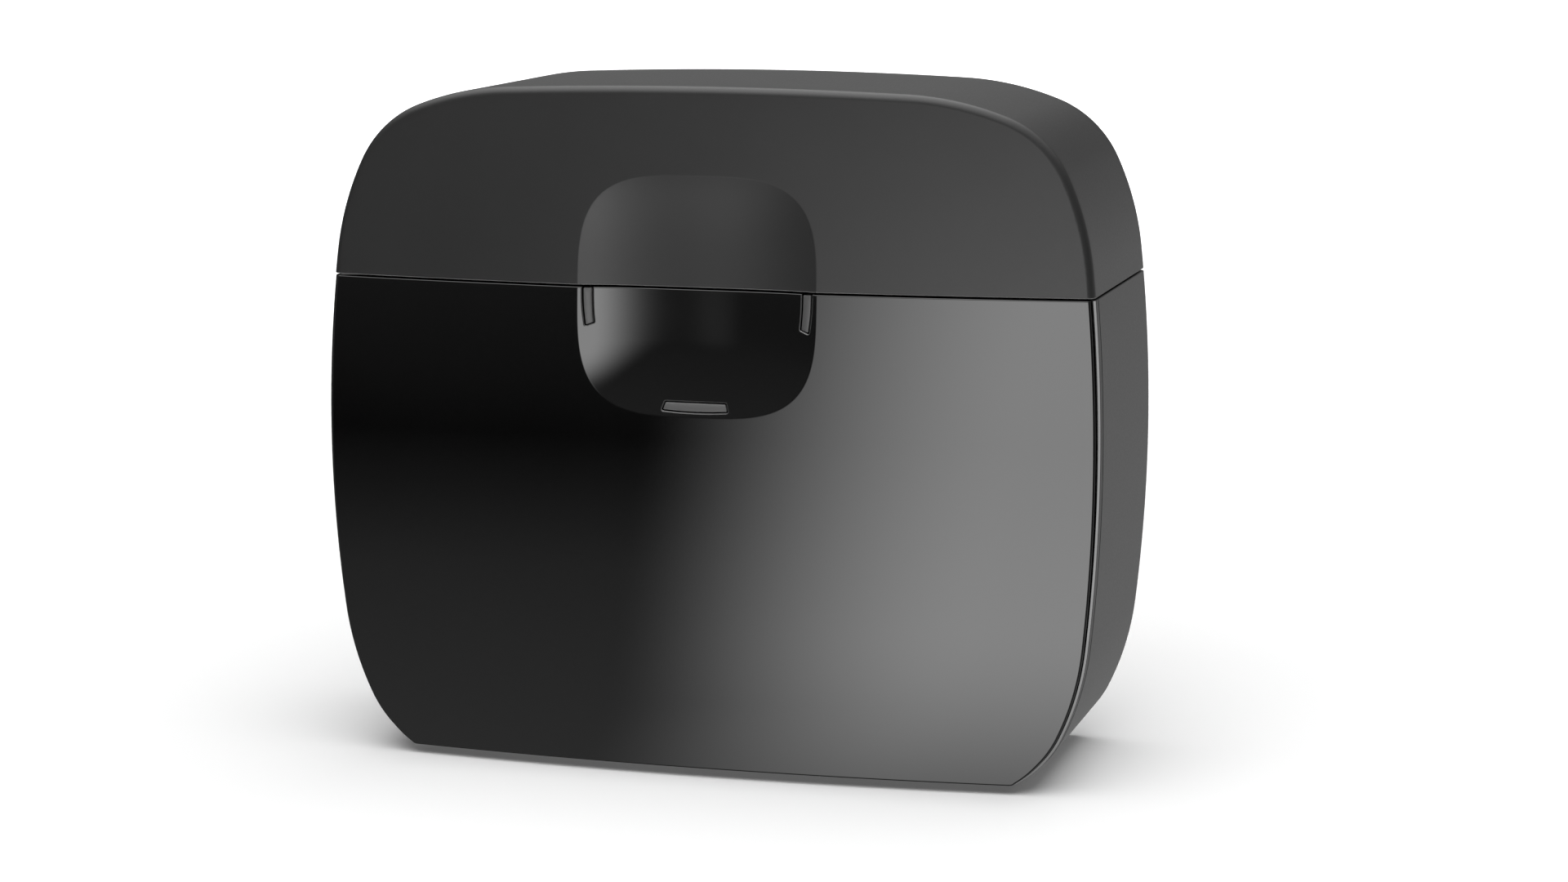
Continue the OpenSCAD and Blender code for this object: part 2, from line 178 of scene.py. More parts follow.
# ---------------------------------------------------------------- meshes
class Build:
    def __init__(self):
        self.v, self.f, self.m = [], [], []

    def ring(self, pts):
        i = len(self.v)
        self.v += [tuple(float(c) for c in p) for p in pts]
        return list(range(i, i + len(pts)))

    def strip(self, a, b, closed=False, mat=0):
        n = len(a)
        for k in range(n if closed else n - 1):
            self.f.append((a[k], a[(k + 1) % n], b[(k + 1) % n], b[k]))
            self.m.append(mat)

    def fan(self, a, c, closed=False, mat=0):
        n = len(a)
        for k in range(n if closed else n - 1):
            self.f.append((a[k], a[(k + 1) % n], c))
            self.m.append(mat)

    def face(self, idx, mat=0):
        self.f.append(tuple(idx))
        self.m.append(mat)

    def rows(self, rows, closed=False, mat=0, mats=None):
        """Joins rings one after another; a row of one point ends in a fan."""
        ids = [self.ring(r) for r in rows]
        for k in range(len(ids) - 1):
            a, b = ids[k], ids[k + 1]
            mm = mats[k] if mats else mat
            if len(a) == 1:
                self.fan(b, a[0], closed, mm)
            elif len(b) == 1:
                self.fan(a, b[0], closed, mm)
            else:
                self.strip(a, b, closed, mm)
        return ids

    def obj(self, name, mats, sharp=32.0, fills=(), weld=2e-6):
        """Makes the object. fills are groups of closed loops of vertex numbers;
        each group bounds one flat face, with holes where it has several."""
        me = bpy.data.meshes.new(name)
        me.from_pydata([(x * MM, y * MM, (z + DZ) * MM) for x, y, z in self.v], [], self.f)
        me.polygons.foreach_set("material_index", self.m)
        bm = bmesh.new()
        bm.from_mesh(me)
        bm.verts.ensure_lookup_table()
        for loops in fills:
            edges = []
            for loop in loops:
                for a, b in zip(loop, loop[1:] + loop[:1]):
                    va, vb = bm.verts[a], bm.verts[b]
                    e = bm.edges.get((va, vb)) or bm.edges.new((va, vb))
                    edges.append(e)
            bmesh.ops.triangle_fill(bm, use_beauty=True, use_dissolve=False,
                                    edges=edges)
        bmesh.ops.remove_doubles(bm, verts=bm.verts, dist=weld)
        bmesh.ops.recalc_face_normals(bm, faces=bm.faces)
        bm.to_mesh(me)
        bm.free()
        o = bpy.data.objects.new(name, me)
        scene.collection.objects.link(o)
        for m in mats:
            me.materials.append(m)
        shade(me, sharp)
        return o


def shade(me, sharp=32.0):
    me.shade_smooth()
    me.set_sharp_from_angle(angle=math.radians(sharp))


def boolean(o, cutters, op="DIFFERENCE", sharp=32.0):
    for c in cutters:
        b = o.modifiers.new("cut", "BOOLEAN")
        b.operation = op
        b.object = c
        b.solver = "MANIFOLD"
    dg = bpy.context.evaluated_depsgraph_get()
    me = bpy.data.meshes.new_from_object(o.evaluated_get(dg))
    old = o.data
    o.modifiers.clear()
    o.data = me
    me.name = o.name
    bpy.data.meshes.remove(old)
    for c in cutters:
        d = c.data
        bpy.data.objects.remove(c)
        bpy.data.meshes.remove(d)
    shade(me, sharp)
    return o


def loop_normals(pts):
    """Outward normals of a closed flat loop (k, 2)."""
    p = np.asarray(pts, float)
    nxt, prv = np.roll(p, -1, 0), np.roll(p, 1, 0)

    def unit(v):
        return v / np.maximum(np.linalg.norm(v, axis=1, keepdims=True), 1e-12)

    e0, e1 = unit(p - prv), unit(nxt - p)
    area = 0.5 * np.sum(p[:, 0] * nxt[:, 1] - nxt[:, 0] * p[:, 1])
    s = 1.0 if area > 0 else -1.0
    n0 = np.stack([e0[:, 1], -e0[:, 0]], 1) * s
    n1 = np.stack([e1[:, 1], -e1[:, 0]], 1) * s
    n = unit(n0 + n1)
    k = np.clip((n * n0).sum(1, keepdims=True), 0.5, 1.0)
    return n / k


def cut_loop(b, ids):
    """Closed loop of the end columns of a stack of rings."""
    right = [r[0] for r in ids]
    left = [r[-1] for r in ids if len(r) > 1]
    return right + left[::-1]


def lip(b, loop, ch, zend, mat=0, seg=1):
    """Eased edge along a cut loop; returns the loop at the flat face."""
    p = np.array([b.v[i] for i in loop])
    n = loop_normals(p[:, :2])
    last = loop
    for k in range(1, seg + 1):
        a = math.pi / 2 * k / seg
        q = p.copy()
        q[:, :2] -= ch * (1 - math.cos(a)) * n
        q[:, 2] += (zend - q[:, 2]) * math.sin(a)
        top = b.ring(q)
        b.strip(last, top, True, mat)
        last = top
    return last


def soft_step(v, a, b):
    k = np.clip((v - a) / (b - a), 0, 1)
    return k * k * (3 - 2 * k)


def panel_edge(o):
    """How far the rim of the shell reaches in from the outline, and where the
    edge of the front panel starts: a groove that narrows towards the base."""
    base = soft_step(-o.m[:, 1], 0.66, 0.96)
    rim = 0.31 - 0.21 * base
    return rim, rim + 0.03 + 0.11 * soft_step(o.p[:, 1], 6.0, 44.0)


def rrect(x0, x1, y0, y1, r, n=8, m=10):
    """Closed loop of a rectangle with round corners, m points per side."""
    pts = []
    cs = [(x1 - r, y1 - r, 0), (x0 + r, y1 - r, 90), (x0 + r, y0 + r, 180),
          (x1 - r, y0 + r, 270)]
    for i, (cx, cy, a) in enumerate(cs):
        for k in range(n + 1):
            t = math.radians(a + 90 * k / n)
            pts.append((cx + r * math.cos(t), cy + r * math.sin(t)))
        p = np.array(pts[-1])
        nx, ny, na = cs[(i + 1) % 4]
        t = math.radians(na)
        q = np.array((nx + r * math.cos(t), ny + r * math.sin(t)))
        for k in range(1, m):
            pts.append(tuple(p + (q - p) * k / m))
    return np.array(pts)


def rr(box, t, z, n=8, m=10):
    """Ring of a rounded block (x0, x1, y0, y1, r), inset by t, at level z."""
    x0, x1, y0, y1, r = box
    p = rrect(x0 + t, x1 - t, y0 + t, y1 - t, max(r - t, 0.02), n, m)
    return np.column_stack([p, np.full(len(p), z) if np.isscalar(z) else z])


def quarter(t0, z0, t1, z1, n, start):
    """Points of a quarter ellipse from (t0, z0) to (t1, z1). start says which
    of the two coordinates runs first."""
    out = []
    for k in range(1, n + 1):
        a = math.pi / 2 * k / n
        if start == "z":
            out.append((t0 + (t1 - t0) * (1 - math.cos(a)), z0 + (z1 - z0) * math.sin(a)))
        else:
            out.append((t0 + (t1 - t0) * math.sin(a), z0 + (z1 - z0) * (1 - math.cos(a))))
    return out


def round_block(name, box, z0, z1, e, mats, n=6, m=6):
    """Rounded block with all its edges eased by e."""
    b = Build()
    prof = ([(e, z0)] + quarter(e, z0, 0, z0 + e, 4, "t") + [(0, z1 - e)]
            + quarter(0, z1 - e, e, z1, 4, "z"))
    ids = b.rows([rr(box, t, z, n, m) for t, z in prof], True)
    b.face(ids[0][::-1])
    b.face(ids[-1])
    return b.obj(name, mats)


def cutter(name, x0, x1, y0, y1, z0, z1):
    b = Build()
    a = b.ring([(x0, y0, z0), (x1, y0, z0), (x1, y1, z0), (x0, y1, z0)])
    c = b.ring([(x0, y0, z1), (x1, y0, z1), (x1, y1, z1), (x0, y1, z1)])
    b.strip(a, c, True)
    b.face(a[::-1])
    b.face(c)
    return b.obj(name, [])


def rod(name, r, p0, p1, n=40):
    b = Build()
    p0, p1 = Vector(p0), Vector(p1)
    d = (p1 - p0).normalized()
    s = d.orthogonal().normalized()
    t = d.cross(s)
    rings = []
    for c in (p0, p1):
        rings.append([tuple(c + r * (math.cos(2 * math.pi * k / n) * s
                                     + math.sin(2 * math.pi * k / n) * t))
                      for k in range(n)])
    ids = b.rows(rings, True)
    b.face(ids[0][::-1])
    b.face(ids[1])
    return b.obj(name, [])


# ---------------------------------------------------------------- materials
def material(name, **socket):
    m = bpy.data.materials.new(name)
    m.use_nodes = True
    n = m.node_tree.nodes
    bsdf = n["Principled BSDF"]
    for k, v in socket.items():
        bsdf.inputs[k.replace("_", " ")].default_value = v
    return m, m.node_tree, bsdf


def add(tree, kind, **props):
    n = tree.nodes.new(kind)
    for k, v in props.items():
        if hasattr(n, k):
            setattr(n, k, v)
        else:
            n.inputs[k.replace("_", " ")].default_value = v
    return n


def coords(tree):
    return add(tree, "ShaderNodeTexCoord").outputs["Object"]


def noise(tree, vec, scale, detail=2.0, rough=0.5):
    n = add(tree, "ShaderNodeTexNoise")
    n.inputs["Scale"].default_value = scale
    n.inputs["Detail"].default_value = detail
    n.inputs["Roughness"].default_value = rough
    tree.links.new(vec, n.inputs["Vector"])
    return n.outputs["Fac"]


def remap(tree, val, lo, hi, a=0.0, b=1.0):
    n = add(tree, "ShaderNodeMapRange")
    n.inputs["From Min"].default_value = a
    n.inputs["From Max"].default_value = b
    n.inputs["To Min"].default_value = lo
    n.inputs["To Max"].default_value = hi
    tree.links.new(val, n.inputs["Value"])
    return n.outputs["Result"]


def tint(tree, val, stops):
    n = add(tree, "ShaderNodeValToRGB")
    e = n.color_ramp.elements
    while len(e) < len(stops):
        e.new(0.5)
    for el, (p, c) in zip(e, stops):
        el.position = p
        el.color = (*c, 1) if len(c) == 3 else c
    tree.links.new(val, n.inputs["Fac"])
    return n.outputs["Color"]


def bump(tree, bsdf, height, strength, dist, after=None):
    n = add(tree, "ShaderNodeBump")
    n.inputs["Strength"].default_value = strength
    n.inputs["Distance"].default_value = dist
    tree.links.new(height, n.inputs["Height"])
    if after is not None:
        tree.links.new(after, n.inputs["Normal"])
    tree.links.new(n.outputs["Normal"], bsdf.inputs["Normal"])
    return n.outputs["Normal"]


def grey(v, warm=0.0):
    return (v * (1 + warm), v, v * (1 - warm))


def satin_plastic(name, lo, hi, r0, r1, grain=5200.0, strength=0.10, warm=0.004, spec=0.5):
    """Fine spark-eroded moulding texture."""
    m, t, b = material(name)
    b.inputs["IOR"].default_value = 1.5
    b.inputs["Specular IOR Level"].default_value = spec
    c = coords(t)
    fine = noise(t, c, grain, 3.0, 0.6)
    wide = noise(t, c, 90.0, 3.0, 0.55)
    t.links.new(tint(t, wide, [(0.3, grey(lo, warm)), (0.7, grey(hi, warm))]),
                b.inputs["Base Color"])
    t.links.new(remap(t, fine, r0, r1, 0.25, 0.75), b.inputs["Roughness"])
    bump(t, b, fine, strength, 0.00004)
    return m


satin = satin_plastic("satin_shell", 0.0192, 0.0212, 0.345, 0.405, spec=0.30)
# lighter grey for the lid's eased lower edge along the parting line: a painted highlight
lid_edge_painted_highlight = satin_plastic("lid_edge_painted_highlight", 0.14, 0.18, 0.34, 0.42)
# the tab fronts: the bracket's plastic made several times lighter, a painted light copy of it
tab_face_painted_light = satin_plastic("satin_bracket", 0.064, 0.072, 0.42, 0.50)
inner_plastic = satin_plastic("inner_plastic", 0.016, 0.020, 0.38, 0.46, 3200.0, 0.16)
tray_plastic = satin_plastic("tray_plastic", 0.026, 0.034, 0.44, 0.54, 2600.0, 0.30)


def gloss_black(name, base, rough, ior=1.5):
    m, t, b = material(name)
    b.inputs["IOR"].default_value = ior
    c = coords(t)
    wide = noise(t, c, 70.0, 2.0)
    t.links.new(tint(t, wide, [(0.3, grey(base)), (0.7, grey(base * 1.5))]),
                b.inputs["Base Color"])
    fine = noise(t, c, 900.0, 4.0, 0.6)
    t.links.new(remap(t, fine, rough * 0.7, rough * 1.3, 0.3, 0.7),
                b.inputs["Roughness"])
    bump(t, b, wide, 0.02, 0.00002)
    return m


gloss = gloss_black("gloss_front", 0.0011, 0.035)
rim_gloss = gloss_black("polished_rim", 0.0060, 0.12, 1.62)
# lighter base colour for the chamfers round the slots in the front panel: a painted highlight
slot_chamfer_painted_highlight = gloss_black("slot_chamfer_painted_highlight", 0.045, 0.30)


def rubber(name, base):
    m, t, b = material(name)
    b.inputs["Specular IOR Level"].default_value = 0.3
    c = coords(t)
    fine = noise(t, c, 3500.0, 3.0, 0.65)
    wide = noise(t, c, 250.0, 2.0)
    t.links.new(tint(t, wide, [(0.3, grey(base)), (0.7, grey(base * 1.35))]),
                b.inputs["Base Color"])
    t.links.new(remap(t, fine, 0.62, 0.8), b.inputs["Roughness"])
    bump(t, b, fine, 0.25, 0.00005)
    return m


seal_rubber = rubber("seal_rubber", 0.006)
foot_rubber = rubber("foot_rubber", 0.010)


def felt_cloth(name, dark, light, scale):
    m, t, b = material(name)
    b.inputs["Specular IOR Level"].default_value = 0.15
    b.inputs["Sheen Weight"].default_value = 0.35
    b.inputs["Sheen Roughness"].default_value = 0.6
    b.inputs["Roughness"].default_value = 0.95
    c = coords(t)
    warp = add(t, "ShaderNodeTexNoise")
    warp.inputs["Scale"].default_value = scale * 0.35
    warp.inputs["Detail"].default_value = 2.0
    t.links.new(c, warp.inputs["Vector"])
    mix = add(t, "ShaderNodeVectorMath", operation="MULTIPLY_ADD")
    mix.inputs[1].default_value = (0.0012, 0.0012, 0.0012)
    t.links.new(warp.outputs["Color"], mix.inputs[0])
    t.links.new(c, mix.inputs[2])
    fib = add(t, "ShaderNodeTexNoise")
    fib.inputs["Scale"].default_value = scale
    fib.inputs["Detail"].default_value = 6.0
    fib.inputs["Roughness"].default_value = 0.72
    fib.inputs["Distortion"].default_value = 1.6
    t.links.new(mix.outputs["Vector"], fib.inputs["Vector"])
    t.links.new(tint(t, fib.outputs["Fac"], [(0.30, dark), (0.52, light), (0.72, dark)]),
                b.inputs["Base Color"])
    bump(t, b, fib.outputs["Fac"], 0.75, 0.00018)
    return m


felt = felt_cloth("felt", (0.115, 0.117, 0.122), (0.20, 0.202, 0.208), 1900.0)


def knit_cloth(name, dark, light, pitch):
    """Fine knitted cover: rows of loops."""
    m, t, b = material(name)
    b.inputs["Specular IOR Level"].default_value = 0.2
    b.inputs["Sheen Weight"].default_value = 0.25
    b.inputs["Roughness"].default_value = 0.9
    c = coords(t)
    w = 2 * math.pi / pitch
    sep = add(t, "ShaderNodeSeparateXYZ")
    t.links.new(c, sep.inputs[0])

    def wave(src, k, ph=0.0):
        a = add(t, "ShaderNodeMath", operation="MULTIPLY_ADD")
        a.inputs[1].default_value = k
        a.inputs[2].default_value = ph
        t.links.new(src, a.inputs[0])
        s = add(t, "ShaderNodeMath", operation="SINE")
        t.links.new(a.outputs[0], s.inputs[0])
        return s.outputs[0]

    mul = add(t, "ShaderNodeMath", operation="MULTIPLY")
    t.links.new(wave(sep.outputs["X"], w), mul.inputs[0])
    t.links.new(wave(sep.outputs["Y"], w * 0.8), mul.inputs[1])
    fuzz = noise(t, c, 4200.0, 4.0, 0.7)
    ad = add(t, "ShaderNodeMath", operation="MULTIPLY_ADD")
    ad.inputs[1].default_value = 0.55
    t.links.new(mul.outputs[0], ad.inputs[0])
    t.links.new(fuzz, ad.inputs[2])
    t.links.new(tint(t, remap(t, ad.outputs[0], 0, 1, -0.2, 1.2),
                     [(0.2, dark), (0.8, light)]), b.inputs["Base Color"])
    bump(t, b, ad.outputs[0], 0.6, 0.00012)
    return m


pad_cloth = knit_cloth("pad_cloth", (0.105, 0.107, 0.112), (0.19, 0.192, 0.198), 0.00062)


def metal(name, colour, r0, r1, stretch=(1.0, 1.0, 1.0), scale=1500.0, strength=0.08):
    """Brushed or turned metal: fine streaks along one axis."""
    m, t, b = material(name)
    b.inputs["Metallic"].default_value = 1.0
    c = coords(t)
    mp = add(t, "ShaderNodeMapping")
    mp.inputs["Scale"].default_value = stretch
    t.links.new(c, mp.inputs["Vector"])
    fine = noise(t, mp.outputs["Vector"], scale, 4.0, 0.65)
    wide = noise(t, c, 300.0, 2.0)
    t.links.new(tint(t, wide, [(0.3, tuple(x * 0.88 for x in colour)), (0.7, colour)]),
                b.inputs["Base Color"])
    t.links.new(remap(t, fine, r0, r1, 0.3, 0.7), b.inputs["Roughness"])
    bump(t, b, fine, strength, 0.00002)
    return m


nickel = metal("nickel", (0.62, 0.60, 0.56), 0.22, 0.36)
screw_steel = metal("screw_steel", (0.50, 0.50, 0.51), 0.24, 0.38)
hinge_metal = metal("hinge_metal", (0.050, 0.050, 0.052), 0.36, 0.50, (0.06, 1, 1), 2600.0, 0.15)
pin_steel = metal("pin_steel", (0.56, 0.56, 0.57), 0.18, 0.30, (0.05, 1, 1), 2600.0)


# ---------------------------------------------------------------- front face
DISH_F = list(np.linspace(0.07, 0.93, 24)) + [0.965]
OUT_G = list(np.linspace(0.0, 1.0, 42)[1:-1])


def face_rows(o, t0, r, nfil=9):
    """Rings of the front face, from the dish centre out to the dome and over
    its edge round; also the level at which the straight edge starts."""
    c = np.array([0.0, o.zend])
    p = o.ring(t0)
    rad = np.sqrt(R_DOME ** 2 - p[:, 0] ** 2 - (p[:, 1] - ZW) ** 2)
    s = (p[:, 0] * o.m[:, 0] + (p[:, 1] - ZW) * o.m[:, 1]) / rad
    root = np.sqrt(1 + s * s)
    edge = o.ring(t0 + r * (1 - s / root))
    d = edge - c
    reach = np.linalg.norm(d, axis=1)
    d = d / reach[:, None]
    rd = dish_reach(c, d)
    rows = [np.array([[0.0, float(front(np.array(0.0), np.array(o.zend))), o.zend]])]
    radii = [f * rd for f in DISH_F] + [rd - 0.12, rd - 0.035, rd + 0.035, rd + 0.12]
    radii += [rd + 0.12 + (reach - rd - 0.12) * g for g in OUT_G]
    radii += [reach - 0.08, reach]
    for q in radii:
        xz = c + d * q[:, None]
        rows.append(xyz(xz, front(xz[:, 0], xz[:, 1])))
    y0 = dome(p[:, 0], p[:, 1])
    yc = y0 - s * r + r * root
    b0 = np.arctan(s)
    for k in range(1, nfil + 1):
        beta = b0 + (math.pi / 2 - b0) * k / nfil
        rows.append(xyz(o.ring(t0 + r - r * np.sin(beta)), yc - r * np.cos(beta)))
    return rows, yc


def inward(o, edge, y, fs):
    """Rings that run from an edge ring to the middle of a flat face."""
    c = np.array([0.0, o.zend])
    return [xyz(c + (edge - c) * f, y) for f in fs]


def analytic_normals(ob, tol=0.004):
    """Gives the vertices on the front face the normals of the true surface."""
    me = ob.data
    n = len(me.loops)
    base = np.zeros(n * 3, np.float32)
    me.corner_normals.foreach_get("vector", base)
    base = base.reshape(-1, 3).astype(float)
    vi = np.zeros(n, np.int32)
    me.loops.foreach_get("vertex_index", vi)
    co = np.zeros(len(me.vertices) * 3, np.float32)
    me.vertices.foreach_get("co", co)
    co = co.reshape(-1, 3).astype(float) / MM
    p = co[vi]
    fn = np.zeros(len(me.polygons) * 3, np.float32)
    me.polygons.foreach_get("normal", fn)
    fn = fn.reshape(-1, 3)
    tot = np.zeros(len(me.polygons), np.int32)
    me.polygons.foreach_get("loop_total", tot)
    lf = np.repeat(np.arange(len(me.polygons)), tot)
    x, z = p[:, 0], p[:, 2] - DZ
    ok = np.abs(p[:, 1] - front(np.clip(x, -38, 38), np.clip(z, 0, 66))) < tol
    want = front_normal(x, z)
    ok &= (want * fn[lf]).sum(1) > 0.985
    ok &= np.abs(rho(x, z) - 1.0) > 0.004
    base[ok] = want[ok]
    me.normals_split_custom_set([tuple(v) for v in base])


# ---------------------------------------------------------------- tabs
def side_tab(s):
    p = [(10.36, 46.90), (11.12, 46.90), (11.12, 46.5), (11.105, 45.8), (11.07, 45.1),
         (10.99, 44.3), (10.87, 43.4), (10.2, 43.66), (10.28, 44.4), (10.32, 45.1),
         (10.35, 45.8), (10.36, 46.5)]
    return [(s * x, z) for x, z in p]


LOW_TAB = ([(-3.14, 35.72), (-1.6, 35.63), (0, 35.6), (1.6, 35.63), (3.14, 35.72)]
           + [(2.92, 36.38), (1.5, 36.38), (0, 36.38), (-1.5, 36.38), (-2.92, 36.38)])


def offset(poly, g):
    p = np.array(poly, float)
    return p + g * loop_normals(p)


def eased(poly, r, n=8):
    """Outline with its sharp corners rounded to about radius r."""
    p = np.array(poly, float)
    res = []
    for i in range(len(p)):
        b = p[i]
        u, v = p[i - 1] - b, p[(i + 1) % len(p)] - b
        lu, lv = np.linalg.norm(u), np.linalg.norm(v)
        inner = math.acos(max(-1.0, min(1.0, float(u @ v) / (lu * lv))))
        if math.pi - inner < 0.5:
            res.append(b)
            continue
        t = min(r / math.tan(inner / 2), 0.45 * lu, 0.45 * lv)
        a, c = b + u * t / lu, b + v * t / lv
        res += [(1 - q) ** 2 * a + 2 * q * (1 - q) * b + q * q * c
                for q in np.linspace(0.0, 1.0, n + 1)]
    return np.array(res)


def tab_solid(name, poly, mats):
    b = Build()
    p = eased(poly, 0.10, 5)

    def lay(q, dy):
        return [(x, float(front(np.array(x), np.array(z))) + dy, z) for x, z in q]

    i0 = b.ring(lay(offset(p, -0.06), 0.02))
    i1 = b.ring(lay(offset(p, -0.02), 0.04))
    i2 = b.ring(lay(p, 0.08))
    i3 = b.ring([(x, -11.5, z) for x, z in p])
    b.strip(i0, i1, True)
    b.strip(i1, i2, True)
    b.strip(i2, i3, True)
    b.face(i3)
    return b.obj(name, mats, fills=[[i0]])


def slot_cutter(name, poly, g, top=None):
    """Slot with round corners and a hairline chamfer that follows the dish."""
    p = offset(np.array(poly, float), g)
    if top is not None:
        p[p[:, 1] > 46.8, 1] = top
        low = p[:, 1] < 43.8
        p[low, 1] += 0.06
    p = eased(p, 0.20)
    b = Build()

    def lay(q, dy):
        return [(x, float(front(np.array(x), np.array(min(z, 47.2)))) + dy, z)
                for x, z in q]

    i0 = b.ring(lay(offset(p, 0.30), -0.2))
    i1 = b.ring(lay(p, 0.10))
    i2 = b.ring([(x, -11.0, z) for x, z in p])
    # the chamfer ring takes the panel's second material, lighter: a painted highlight
    b.strip(i0, i1, True, 1)
    b.strip(i1, i2, True)
    b.face(i2)
    return b.obj(name, [], fills=[[i0]])


# ---------------------------------------------------------------- front panel
def make_panel():
    o = Outline(Z_BODY - CH_PANEL, False)
    t0 = panel_edge(o)[1]
    rows, yc = face_rows(o, t0, 0.25)
    p = o.ring(t0)
    back = dome(p[:, 0], p[:, 1], 1.18)
    rows.append(xyz(p, (yc + back) / 2))
    rows.append(xyz(p, back))
    q = o.ring(1.0)
    rows.append(xyz(q, dome(q[:, 0], q[:, 1], 1.18)))
    c = np.array([0.0, o.zend])
    d = q - c
    reach = np.linalg.norm(d, axis=1)
    d = d / reach[:, None]
    rd = dish_reach(c, d)
    for f in (0.66, 0.33):
        xz = c + d * (1.12 * rd + (reach - 1.12 * rd) * f)[:, None]
        rows.append(xyz(xz, dome(xz[:, 0], xz[:, 1], 1.18)))
    xz = c + d * (1.12 * rd)[:, None]
    rows.append(xyz(xz, dome(xz[:, 0], xz[:, 1], 1.18)))
    xz = c + d * (1.10 * rd)[:, None]
    rows.append(xyz(xz, np.full(len(xz), -12.1)))
    rows.append(xyz(c + d * (0.5 * rd)[:, None], np.full(len(xz), -12.1)))
    rows.append(np.array([[0.0, -12.1, o.zend]]))
    b = Build()
    ids = b.rows(rows)
    top = lip(b, cut_loop(b, ids), CH_PANEL, Z_BODY, 0, 8)
    ob = b.obj("front_panel_gloss", [gloss, slot_chamfer_painted_highlight], fills=[[top]])
    boolean(ob, [slot_cutter("slot_r", side_tab(1), 0.15, 48.2),
                 slot_cutter("slot_l", side_tab(-1), 0.15, 48.2),
                 slot_cutter("slot_m", LOW_TAB, 0.12)], sharp=14.0)
    analytic_normals(ob)
    return ob


# ---------------------------------------------------------------- lid shell
def make_lid():
    rb = 0.45
    o = Outline(Z_LID + CH_LID, True)
    rows, yc = face_rows(o, 0.0, 0.9, 12)
    p = o.ring(0.0)
    for f in (0.03, 0.25, 0.5, 0.75, 0.985, 1.0):
        rows.append(xyz(p, yc + (BY - rb - yc) * f))
    for k in range(1, 7):
        a = math.pi / 2 * k / 6
        rows.append(xyz(o.ring(rb - rb * math.cos(a)), BY - rb + rb * math.sin(a)))
    edge = o.ring(rb)
    rows += inward(o, edge, BY, (0.985, 0.8, 0.55, 0.3))
    rows.append(np.array([[0.0, BY, o.zend]]))
    b = Build()
    ids = b.rows(rows)
    # the eased lower edge takes the lighter grey, a painted highlight
    top = lip(b, cut_loop(b, ids), CH_LID, Z_LID, 1)
    # the hollow
    i = Outline(Z_LID, True)
    t = 1.8
    q = i.ring(t)
    inner = [np.array([[0.0, BI, i.zend]])]
    inner += inward(i, i.ring(t + 0.6), BI, (0.3, 0.65, 1.0))
    for k in range(1, 5):
        a = math.pi / 2 * k / 4
        inner.append(xyz(i.ring(t + 0.6 * (1 - math.sin(a))), BI - 0.6 * (1 - math.cos(a))))
    yin = dome(q[:, 0], q[:, 1], 1.6)
    inner.append(xyz(q, (BI + yin) / 2))
    inner.append(xyz(q, yin))
    c = np.array([0.0, i.zend])
    d = q - c
    reach = np.linalg.norm(d, axis=1)
    d = d / reach[:, None]
    rd = dish_reach(c, d)
    for f in (0.7, 0.4, 0.15):
        xz = c + d * (1.12 * rd + (reach - 1.12 * rd) * f)[:, None]
        inner.append(xyz(xz, dome(xz[:, 0], xz[:, 1], 1.6)))
    xz = c + d * (1.13 * rd)[:, None]
    inner.append(xyz(xz, dome(xz[:, 0], xz[:, 1], 1.6)))
    xz = c + d * (1.10 * rd)[:, None]
    inner.append(xyz(xz, np.full(len(xz), -12.1)))
    inner.append(xyz(c + d * (0.5 * rd)[:, None], np.full(len(xz), -12.1)))
    inner.append(np.array([[0.0, -12.1, i.zend]]))
    ids2 = b.rows(inner)
    ob = b.obj("lid_shell_moulding", [satin, lid_edge_painted_highlight], fills=[[top, cut_loop(b, ids2)]])
    boolean(ob, hinge_room(1))
    analytic_normals(ob)
    return ob


def hinge_room(s):
    """Recess in the back for a hinge leaf, the barrel and the screws."""
    z0, z1 = sorted((ZP - s * 0.4, ZP + s * 7.55))
    out = [cutter("leaf_recess", -17.05, 17.05, BY - 0.8, BY + 1, z0, z1),
           rod("barrel_room", 1.55, (-17.3, BY + 0.3, ZP), (17.3, BY + 0.3, ZP))]
    for x in (-12, 12):
        out.append(rod("screw_room", 0.85, (x, BI + 0.25, ZP + s * 4.8),
                       (x, BY + 0.5, ZP + s * 4.8), 24))
    return out


# ---------------------------------------------------------------- body shell
POST_Y = (0.45 - 4, 0.45 + 4)          # tray screws and posts


